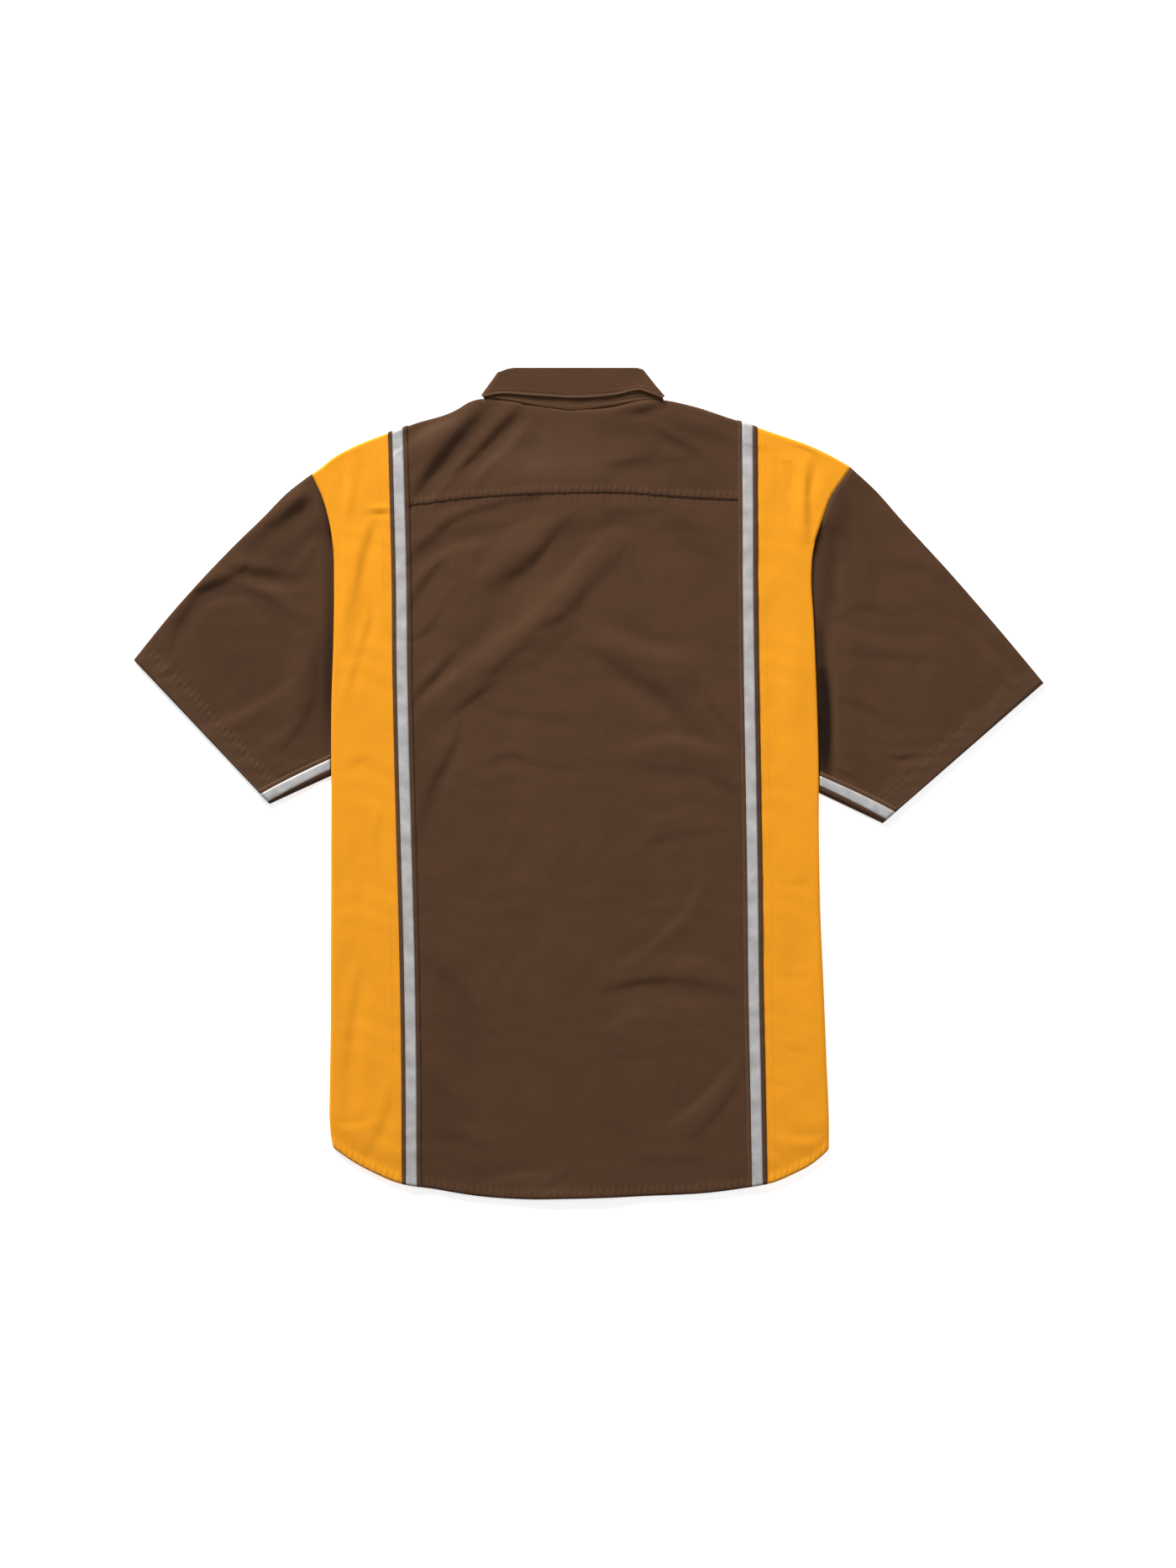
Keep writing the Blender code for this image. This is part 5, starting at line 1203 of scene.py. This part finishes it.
def collar_path(stations, top, bottom):
    """Fine rows across a collar piece: fold, edge, outward direction, angle and height of each.

    The piece lies face down at the front, rolls up at its two sides and lies face up behind.
    """
    radius = (top - bottom) / 2
    rows = []
    last = len(stations) - 1
    for number, station in enumerate(stations):
        fold = np.array(station[:2])
        edge = np.array(station[2:])
        along = (fold - edge) / np.hypot(*(fold - edge))
        mirrored = number > last // 2
        outward = np.array((along[1], -along[0])) * (1.0 if mirrored else -1.0)
        if number in (SIDE_STATION, last - SIDE_STATION):
            for angle in sorted(ROLL, reverse=mirrored):
                turned = math.radians(angle)
                shift = -outward * radius * (1.0 - math.cos(turned))
                slant = along * np.hypot(*shift) * SIDE_SLANT * (angle > 0)
                height = bottom + radius * (1.0 + math.sin(turned))
                rows.append((*(fold + shift + slant), *(edge + shift), *outward, angle, height))
        else:
            behind = SIDE_STATION < number < last - SIDE_STATION
            angle, height = (90.0, top) if behind else (-90.0, bottom)
            rows.append((*fold, *edge, *outward, angle, height))
    rows = np.array(rows)
    lengths = np.hypot(*(np.diff(rows[:, :2], axis=0)).T)
    samples = [0.0]
    for k, length in enumerate(lengths):
        steps = max(1, round(length / COLLAR_SPACING))
        samples.extend(k + (n + 1) / steps for n in range(steps))
    samples = np.array(samples)
    knots = np.arange(len(rows))
    fine = [follow(list(zip(knots, rows[:, column])), samples) for column in range(6)]
    fine += [np.interp(samples, knots, rows[:, column]) for column in (6, 7)]
    return np.array(fine).T


def place_collar(path, columns, curls, relief):
    """Layout of a collar piece; its columns run from edge to fold, then curl ahead and down past it."""
    curls = np.array(curls)

    def place(column, row):
        station = path[row]
        fold, edge, outward = station[:, 0:2], station[:, 2:4], station[:, 4:6]
        turned = np.radians(station[:, 6])
        length = np.hypot(*(fold - edge).T)
        along = (fold - edge) / length[:, None]
        ahead, down = curls[np.clip(column - columns, 0, len(curls) - 1)].T
        reach = (length - curls[-1][0]) * np.clip(column / columns, 0.0, 1.0) + ahead
        plan = edge + along * reach[:, None]
        raised, wear_and_shading = relief(plan[:, 0], reach, length, np.clip(np.sin(turned), 0.0, 1.0))
        off = raised - down
        plan = plan + outward * (np.cos(turned) * off)[:, None]
        z = station[:, 7] + off * np.sin(turned)
        return plan[:, 0], plan[:, 1], z, wear_and_shading, bell(*COLLAR_GATHER, reach - SEAM_GROOVE_AT)

    return place


def stand_relief(x, reach, length, behind):
    """Seam allowance along the neck, the groove beside it, and the join at centre back."""
    allowance = ALLOWANCE_RIDGE * fade(2.2, 3.4, reach) + bell(*SEAM_GROOVE, reach - SEAM_GROOVE_AT)
    join = bell(*JOIN_RIDGE, x - JOIN_X) - bell(*JOIN_RIDGE, x - JOIN_X - JOIN_STEP)
    uneven = 0.18 * np.sin(x / 6.1 + 1.3 * np.sin(x / 17.0))
    wear_and_shading = bell(*STAND_WORN, reach - 0.8) + bell(*JOIN_WORN, x - JOIN_X)
    return (allowance + join + uneven) * behind, wear_and_shading * behind


stand_mirrored = mirror_stations(STAND_STATIONS)
stand_path = collar_path(STAND_STATIONS + stand_mirrored[:3] + STAND_RIGHT_SIDE + stand_mirrored[4:],
                         COLLAR_STAND_TOP, CLOTH + GAP)
collar_stand = lay_cloth("collar_stand", brown_twill, STAND_COLUMNS, len(stand_path) - 1,
                         place_collar(stand_path, STAND_COLUMNS, [(0.0, 0.0)], stand_relief),
                         sample=(2, len(stand_path) // 2))
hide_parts("collar_stand")

# ---------------------------------------------------------------- collar leaf
# Folded down over the stand, so that its free edge crosses the back of the neck. The edge is
# turned to a thin ridge with a groove beside it. It stands off the shirt toward the right shoulder.
LEAF_STATIONS = (  # fold x, fold y, edge x, edge y, from centre front to centre back
    (-13.8, 306.5, -70.0, 262.0), (-48.0, 338.0, -88.0, 300.0), (-66.0, 362.0, -95.0, 328.0),
    (-78.0, 381.0, -99.6, 352.0), (-88.0, 402.0, -104.4, 379.2), (-74.0, 405.6, -84.0, 380.4),
    (-54.0, 405.9, -54.0, 378.3), (-34.0, 405.9, -33.0, 376.9), (-13.2, 405.9, -13.2, 376.0),
)
LEAF_RIGHT = (
    (7.6, 405.9, 8.0, 376.7), (27.6, 405.9, 28.0, 379.2), (46.5, 405.8, 52.0, 383.7),
    (53.6, 404.8, 74.6, 378.2),
)
LEAF_COLUMNS = 40
LEAF_CURL = 1.2
LEAF_CURL_STEP = 15
LEAF_EDGE_LIFT = 0.1
RIGHT_LIFT = 1.6
RIGHT_LIFT_X = (34.0, 64.0)
LEAF_RIDGE = 0.4
LEAF_GROOVE = (-0.12, 0.8)
LEAF_WORN = (0.55, 1.0)


def leaf_relief(x, reach, length, behind):
    """Turned edge with a groove beside it, a lifted right end, and a faint unevenness."""
    lift = LEAF_EDGE_LIFT + RIGHT_LIFT * ease(*RIGHT_LIFT_X, x)
    raised = lift * (1.0 - reach / length) ** 1.5
    edge = LEAF_RIDGE * fade(1.2, 2.4, reach) + bell(*LEAF_GROOVE, reach - 2.9)
    uneven = 0.35 * np.sin(x / 14.0 + 1.4 * np.sin(x / 33.0))
    uneven = uneven * np.sin(np.pi * np.clip(reach / length, 0.0, 1.0))
    return (raised + edge + uneven) * behind, bell(*LEAF_WORN, reach - 0.6) * (0.4 + 0.6 * behind)


leaf_mirrored = mirror_stations(LEAF_STATIONS)
leaf_path = collar_path(LEAF_STATIONS + LEAF_RIGHT + leaf_mirrored[len(LEAF_RIGHT):],
                        COLLAR_STAND_TOP + CLOTH + GAP, 0.0)
leaf_curl = []
for curl_angle in range(0, 91, LEAF_CURL_STEP):
    turned = math.radians(curl_angle)
    leaf_curl.append((LEAF_CURL * math.sin(turned), LEAF_CURL * (1.0 - math.cos(turned))))
leaf_curl.append((LEAF_CURL, 1.9 * LEAF_CURL))
collar_leaf = lay_cloth("collar_leaf", brown_twill, LEAF_COLUMNS + len(leaf_curl) - 1, len(leaf_path) - 1,
                        place_collar(leaf_path, LEAF_COLUMNS, leaf_curl, leaf_relief),
                        sample=(2, len(leaf_path) // 2))
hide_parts("collar_leaf")

# ---------------------------------------------------------------- fronts
# The two plain fronts that the shirt lies on, cut from the same brown twill and narrow-hemmed
# like the back. The right one passes inside the placket; soft creases lift them in places.
FRONT_HEM_SHORTER = 3.0
PLACKET_TOP = 289.5
BUTTON_THICK = 2.0
FRONT_ROWS = 150
FRONT_SIDE_COLUMNS = 52
FRONT_NECKLINE = (  # x from the centre line, y
    (16.0, 289.9), (30.0, 293.0), (52.0, 308.5), (69.0, 327.0), (79.0, 346.0),
)
FRONT_EDGE_CALM = (4.0, 20.0)
FRONT_HEM_CALM = (2.0, 20.0)
FRONT_ARMHOLE_START = (-28.0, -16.0)
FRONT_GROOVE = (0.25, 1.0)
FRONT_HEM_WORN = (0.5, 1.5)
FRONT_HEM_GATHER = 0.8
FRONT_NEAR = {  # near columns' distances from the placket's middle, height there, where it ends
    "left": ((17.3, 20, 23, 26, 31, 36, 43, 50), FRONT_RISE - CLOTH - GAP, 48.0),
    "right": ((-16, -10, -5, 0, 6, 12, 17.3, 22, 26, 31, 36, 43, 50), FRONT_RISE, 50.0),
}
FRONT_CREASES = (  # x0, y0, x1, y1, x2, y2, half_width, height, drop
    (-180, 230, -140, 200, -90, 180, 15, 0.8, 0), (-150, 120, -110, 60, -100, -10, 17, 0.8, 0),
    (-190, -40, -150, -90, -90, -110, 15, 0.7, 0), (-160, -200, -130, -260, -120, -330, 15, 0.8, 0),
    (-80, -160, -60, -220, -66, -290, 12, 0.6, 0), (150, 250, 110, 210, 70, 190, 15, 0.8, 0),
    (120, 130, 96, 60, 104, 0, 17, 0.8, 0), (170, -20, 140, -80, 90, -120, 14, 0.7, 0),
    (60, -150, 76, -230, 70, -300, 15, 0.8, 0), (180, -180, 150, -250, 140, -330, 13, 0.6, 0),
)


def front_side_x(side, y):
    """Outer edge of a front: the side seam, then the armhole seam above the underarm."""
    out = OUTWARD[side]
    side_seam = side_edge(side, y) - out * (side_radius(side, y) + SIDE_TURN + 2 * GAP)
    arm_seam = armhole(side, y) - out * 3 * GAP
    return between(side_seam, arm_seam, ease(*FRONT_ARMHOLE_START, y - UNDERARM_Y[side]))


def front_top_y(x):
    """Top of a front: neckline, then the shoulder seam."""
    from_centre = np.abs(x - PLACKET_X)
    shoulder = follow(SHOULDER_AND_NECK, x) - shoulder_radius(x) - SHOULDER_TURN - 2 * GAP
    return np.where(from_centre > FRONT_NECKLINE[-1][0] + 5.0, shoulder, follow(FRONT_NECKLINE, from_centre))


def place_front(side):
    """Layout of a front: close columns over the placket's step, then even ones out to the side."""
    out = OUTWARD[side]
    near, raised, level_from = FRONT_NEAR[side]
    near_offsets = np.array(near)

    def place(column, row):
        near_column = np.clip(column, 0, len(near) - 1)
        share = np.clip((column - near_column) / FRONT_SIDE_COLUMNS, 0.0, 1.0)
        y = np.zeros(len(row))
        for _ in range(SETTLE):
            x = between(PLACKET_X + out * near_offsets[near_column], front_side_x(side, y), share)
            y = between(follow(HEM, x) + FRONT_HEM_SHORTER, front_top_y(x), row / FRONT_ROWS)
        rise = raised * fade(PLACKET_HALF + 1.0, level_from, out * (x - PLACKET_X))
        above_hem = y - follow(HEM, x) - FRONT_HEM_SHORTER
        calm = ease(*FRONT_EDGE_CALM, out * (front_side_x(side, y) - x)) * ease(*FRONT_HEM_CALM, above_hem)
        creased = creases_at(FRONT_CREASES, x, y) * calm * fade(0.0, 1.0, rise)
        z = np.maximum(rise, wing_rise(x, y)) + creased + bell(*FRONT_GROOVE, above_hem - HEM_DEPTH)
        return x, y, z, bell(*FRONT_HEM_WORN, above_hem), FRONT_HEM_GATHER * hem_gather(above_hem)

    return place


for side in OUTWARD:
    front_columns = len(FRONT_NEAR[side][0]) - 1 + FRONT_SIDE_COLUMNS
    front = lay_cloth(f"front_{side}", brown_twill, front_columns, FRONT_ROWS, place_front(side),
                      looks_down=True, sample=(20, 40))
    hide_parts(f"front_{side}")

# ---------------------------------------------------------------- placket
# A doubled band down the closed front, stitched along both edges. The buttons sit on its middle.
PLACKET_COLUMNS = 12
PLACKET_ROWS = 230
PLACKET_REST = 0.2
PLACKET_STITCH_AT = 0.8  # of its half width
PLACKET_GROOVE = (0.2, 0.07)
PLACKET_PUCKER = (12.0, 1.2)
PLACKET_PUCKERS = (0.15, 0.12)
PLACKET_WORN = 0.4


def place_placket(column, row):
    """Layout of the placket, from the hem to the neck, sunk along its two stitch lines."""
    across = 2.0 * column / PLACKET_COLUMNS - 1.0
    x = PLACKET_X + PLACKET_HALF * across
    y = between(follow(HEM, x) + FRONT_HEM_SHORTER, PLACKET_TOP, row / PLACKET_ROWS)
    stitched = bell(*PLACKET_GROOVE, np.abs(across) - PLACKET_STITCH_AT)
    uneven = pucker(y, *PLACKET_PUCKER) * bell(*PLACKET_PUCKERS, np.abs(across) - 0.9)
    z = BUTTON_THICK + GAP + PLACKET_REST + stitched + uneven
    return x, y, z, PLACKET_WORN * np.abs(across) ** 12, 0.0


placket = lay_cloth("placket", brown_twill, PLACKET_COLUMNS, PLACKET_ROWS, place_placket,
                    looks_down=True, sample=(4, 40))
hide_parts("placket")

# ---------------------------------------------------------------- buttons
# Seven dark horn buttons with a raised rim, a dished middle and four holes, sewn on with
# brown thread. They lie face down under the shirt.
BUTTON_RADIUS = 5.5
BUTTON_DISH = 3.9
BUTTON_HOLE = 0.55
BUTTON_HOLE_AT = 1.05
BUTTON_COUNT = 7
BUTTON_TOP_Y = 262.0
BUTTON_PITCH = 92.0
BUTTON_SEGMENTS = 40
HOLE_SEGMENTS = 14
DISH_BOTTOM = 0.5
DISH_THICK = 1.0
RIM_LAP = 0.15
RIM_LEAST_RADIUS = 3.0
RIM_LEAST_ANGLE = 1.0
RIM_BEVEL = 0.4
RIM_BEVEL_STEPS = 3
SHARP_ANGLE = 50.0


def polish_horn(name):
    """Dark horn: streaked brown and black under a soft gloss."""
    material, tree, shader = new_material(name)
    place = add_node(tree, "TexCoord", {}).outputs["Object"]
    streaks = add_node(tree, "TexWave", {
        "Scale": 90.0, "Distortion": 7.0, "Detail": 4.0, "Vector": place,
    }).outputs["Fac"]
    horn_colour = two_tone(tree, streaks, (0.012, 0.007, 0.005, 1.0), (0.060, 0.030, 0.016, 1.0), 0.0, 1.0)
    set_inputs(tree, shader, {
        "Base Color": horn_colour, "Roughness": 0.34, "Normal": bump(tree, streaks, 0.15, 0.1),
    })
    return material


def lift(form, items, height):
    """Raises the vertices among these items by a height in millimetres."""
    verts = [item for item in items if isinstance(item, bmesh.types.BMVert)]
    bmesh.ops.translate(form, verts=verts, vec=(0.0, 0.0, height * MM))


def save_mesh(form, name, material):
    """The smooth mesh of a finished form, in its material."""
    mesh = bpy.data.meshes.new(name)
    form.to_mesh(mesh)
    form.free()
    mesh.shade_smooth()
    mesh.materials.append(material)
    return mesh


def button_form(at_y):
    """A pierced, dished disc inside a rounded rim."""
    form = bmesh.new()

    def ring(radius, segments=BUTTON_SEGMENTS, x=0.0, y=0.0):
        at = Matrix.Translation((x * MM, y * MM, 0.0))
        return bmesh.ops.create_circle(form, segments=segments, radius=radius * MM, matrix=at)["verts"]

    ring(BUTTON_DISH)
    for hole_x in (-BUTTON_HOLE_AT, BUTTON_HOLE_AT):
        for hole_y in (-BUTTON_HOLE_AT, BUTTON_HOLE_AT):
            ring(BUTTON_HOLE, HOLE_SEGMENTS, hole_x, hole_y)
    bmesh.ops.triangle_fill(form, edges=form.edges[:], use_beauty=True)
    lift(form, form.verts[:], DISH_BOTTOM)
    dish = bmesh.ops.extrude_face_region(form, geom=form.faces[:], use_keep_orig=True)["geom"]
    lift(form, dish, DISH_THICK)
    rim_verts = ring(BUTTON_RADIUS) + ring(BUTTON_DISH - RIM_LAP)
    loops = list({edge for vert in rim_verts for edge in vert.link_edges})
    rim = bmesh.ops.bridge_loops(form, edges=loops)["faces"]
    walls = bmesh.ops.extrude_face_region(form, geom=rim, use_keep_orig=True)["geom"]
    lift(form, walls, BUTTON_THICK)
    bmesh.ops.recalc_face_normals(form, faces=form.faces[:])
    rims = [edge for edge in form.edges if abs(edge.calc_face_angle(0.0)) > RIM_LEAST_ANGLE
            and min(edge.verts[0].co.xy.length, edge.verts[1].co.xy.length) > RIM_LEAST_RADIUS * MM
            and abs(edge.verts[0].co.z - edge.verts[1].co.z) < 0.1 * MM]
    bmesh.ops.bevel(form, geom=rims, offset=RIM_BEVEL * MM, offset_type="OFFSET", segments=RIM_BEVEL_STEPS,
                    profile=0.5, affect="EDGES", material=-1)
    bmesh.ops.translate(form, verts=form.verts[:], vec=(PLACKET_X * MM, at_y * MM, 0.0))
    return form


horn = polish_horn("button_horn")
for number in range(1, BUTTON_COUNT + 1):
    form = button_form(BUTTON_TOP_Y - (number - 1) * BUTTON_PITCH)
    mesh = save_mesh(form, f"button_{number}", horn)
    mesh.set_sharp_from_angle(angle=math.radians(SHARP_ANGLE))
    button = add_object(f"button_{number}", mesh)
    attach(button, "root")
    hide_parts(f"button_{number}")

# ---------------------------------------------------------------- sewing
# Lockstitch in matching thread, part sunk in the cloth: brown on the yoke, hems, tapes, placket and
# buttons, grey on the strips, and ochre on the side panels, with dotted rows beside the tapes.
THREAD = 0.22
ROW_PITCH = (3.2, 2.3)  # from stitch to stitch, length of one
HEM_PITCH = (3.0, 2.2)
DOTTED_PITCH = (3.6, 2.2)
BUTTON_THREAD_PITCH = (3.2, 3.0)
BROWN_THREAD = (0.075, 0.037, 0.020)
OCHRE_THREAD = (0.50, 0.20, 0.022)
GREY_THREAD = (0.30, 0.29, 0.29)


def spin_thread(name, colour):
    """Twisted sewing thread, matt, with its ply showing as fine bands."""
    material, tree, shader = new_material(name)
    place = add_node(tree, "TexCoord", {}).outputs["Object"]
    ply = add_node(tree, "TexNoise", {"Scale": 900.0, "Detail": 3.0, "Vector": place}).outputs["Fac"]
    thread_colour = two_tone(tree, ply, shade(colour, 0.6), shade(colour, 1.3))
    set_inputs(tree, shader, {"Base Color": thread_colour, "Roughness": 0.7})
    return material


def sew(name, material, lines, pitch_and_length=ROW_PITCH, sunk=0.4):
    """One piece with all the stitches along these lines of surface points."""
    pitch, length = pitch_and_length
    form = bmesh.new()
    for line in lines:
        steps = np.linalg.norm(np.diff(line, axis=0), axis=1)
        along = np.concatenate(((0.0,), np.cumsum(steps)))
        for at in np.arange(pitch / 2, along[-1], pitch):
            ends = [Vector([np.interp(at + shift, along, line[:, axis]) for axis in range(3)])
                    for shift in (-length / 2, length / 2)]
            middle = (ends[0] + ends[1]) / 2
            turn = (ends[1] - ends[0]).to_track_quat("X", "Z").to_matrix().to_4x4()
            size = Matrix.Diagonal((length / 2 * MM, THREAD * MM, THREAD * MM, 1.0))
            place = Matrix.Translation((middle - Vector((0.0, 0.0, sunk * THREAD))) * MM)
            bmesh.ops.create_icosphere(form, subdivisions=1, radius=1.0, matrix=place @ turn @ size)
    stitches = add_object(name, save_mesh(form, name, material))
    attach(stitches, "root")


def line_at(x, y, z):
    """A line's points, one to a row."""
    return np.stack(np.broadcast_arrays(x, y, z), axis=1)


def on_panel(x, y, raised=0.0):
    """A line on the back or the side panels, or raised over them."""
    return line_at(x, y, back_height(x, y) + hem_relief(x, y) + raised)


def hem_line(start, end, points):
    """Stitch line of the tail hem from x start to x end."""
    x = np.linspace(start, end, points)
    return on_panel(x, follow(HEM, x) + HEM_STITCH)


brown_thread = spin_thread("brown_thread", BROWN_THREAD)
ochre_thread = spin_thread("ochre_thread", OCHRE_THREAD)
grey_thread = spin_thread("grey_thread", GREY_THREAD)

yoke_x = np.linspace(-173.0, 145.0, 400)
yoke_y = follow(YOKE_EDGE, yoke_x) + YOKE_STITCH
yoke_line = line_at(yoke_x, yoke_y, back_height(yoke_x, yoke_y) + yoke_relief(yoke_x, yoke_y))
sew("yoke_topstitch", brown_thread, [yoke_line])
sew("tail_hem_stitch", brown_thread, [hem_line(-163.0, 155.0, 400)], HEM_PITCH)
side_hems = [hem_line(-248.0, -185.0, 120), hem_line(177.0, 232.0, 120)]
sew("side_hem_stitch", ochre_thread, side_hems, HEM_PITCH)

DOTTED_FROM_TAPE = 17.6
DOTTED_ROWS = (  # side, from y, to y
    ("right", -386.0, 335.0), ("left", 190.0, 300.0), ("left", -262.0, -117.0),
)
rows = []
for side, start, end in DOTTED_ROWS:
    up = np.linspace(start, end, 500)
    rows.append(on_panel(follow(TAPE_LINE[side], up) + OUTWARD[side] * DOTTED_FROM_TAPE, up))
sew("dotted_rows", ochre_thread, rows, DOTTED_PITCH, 0.2)

TAPE_STITCH = TAPE_HALF - 1.3
FILM_STITCH = FILM_HALF - 0.9
tape_rows = []
film_rows = []
up = np.linspace(-383.0, 338.0, 700)
for side in OUTWARD:
    for shift in (-1.0, 1.0):
        at_x = follow(TAPE_LINE[side], up)
        dents = strip_relief(at_x, up, 1.0 + OUTWARD[side])
        tape_rows.append(on_panel(at_x + shift * TAPE_STITCH, up, dents + TAPE_LIFT))
        film_rows.append(on_panel(at_x + shift * FILM_STITCH, up, dents + FILM_LIFT))
sew("tape_stitch", brown_thread, tape_rows)
sew("film_stitch", grey_thread, film_rows)

distance = np.linspace(24.0, 180.0, 240)
rows = []
for side in OUTWARD:
    _, _, top_out, low_out = SLEEVE_CORNERS[side]
    run = direction(low_out, top_out)
    inward = SLEEVE_HEM_STITCH * OUTWARD[side] * np.array((-run[1], run[0]))
    at_x = low_out[0] + run[0] * distance + inward[0]
    at_y = low_out[1] + run[1] * distance + inward[1]
    rows.append(line_at(at_x, at_y, sleeve_height(side, at_x, at_y) + sleeve_relief(side, at_x, at_y)))
sew("sleeve_hem_stitch", brown_thread, rows)

up = np.linspace(-395.0, 286.0, 600)
stitch_z = BUTTON_THICK + GAP + PLACKET_REST + PLACKET_GROOVE[0]
rows = [line_at(PLACKET_X + shift * PLACKET_STITCH_AT * PLACKET_HALF, up, stitch_z) for shift in (-1.0, 1.0)]
sew("placket_stitch", brown_thread, rows, sunk=-0.2)

THREAD_SPAN = np.array((-1.6, 0.0, 1.6))
THREAD_Z = 0.55
rows = []
for number in range(BUTTON_COUNT):
    at_y = BUTTON_TOP_Y - number * BUTTON_PITCH
    for shift in (-BUTTON_HOLE_AT, BUTTON_HOLE_AT):
        rows.append(line_at(PLACKET_X + shift, at_y + THREAD_SPAN, THREAD_Z))
sew("button_thread", brown_thread, rows, BUTTON_THREAD_PITCH)
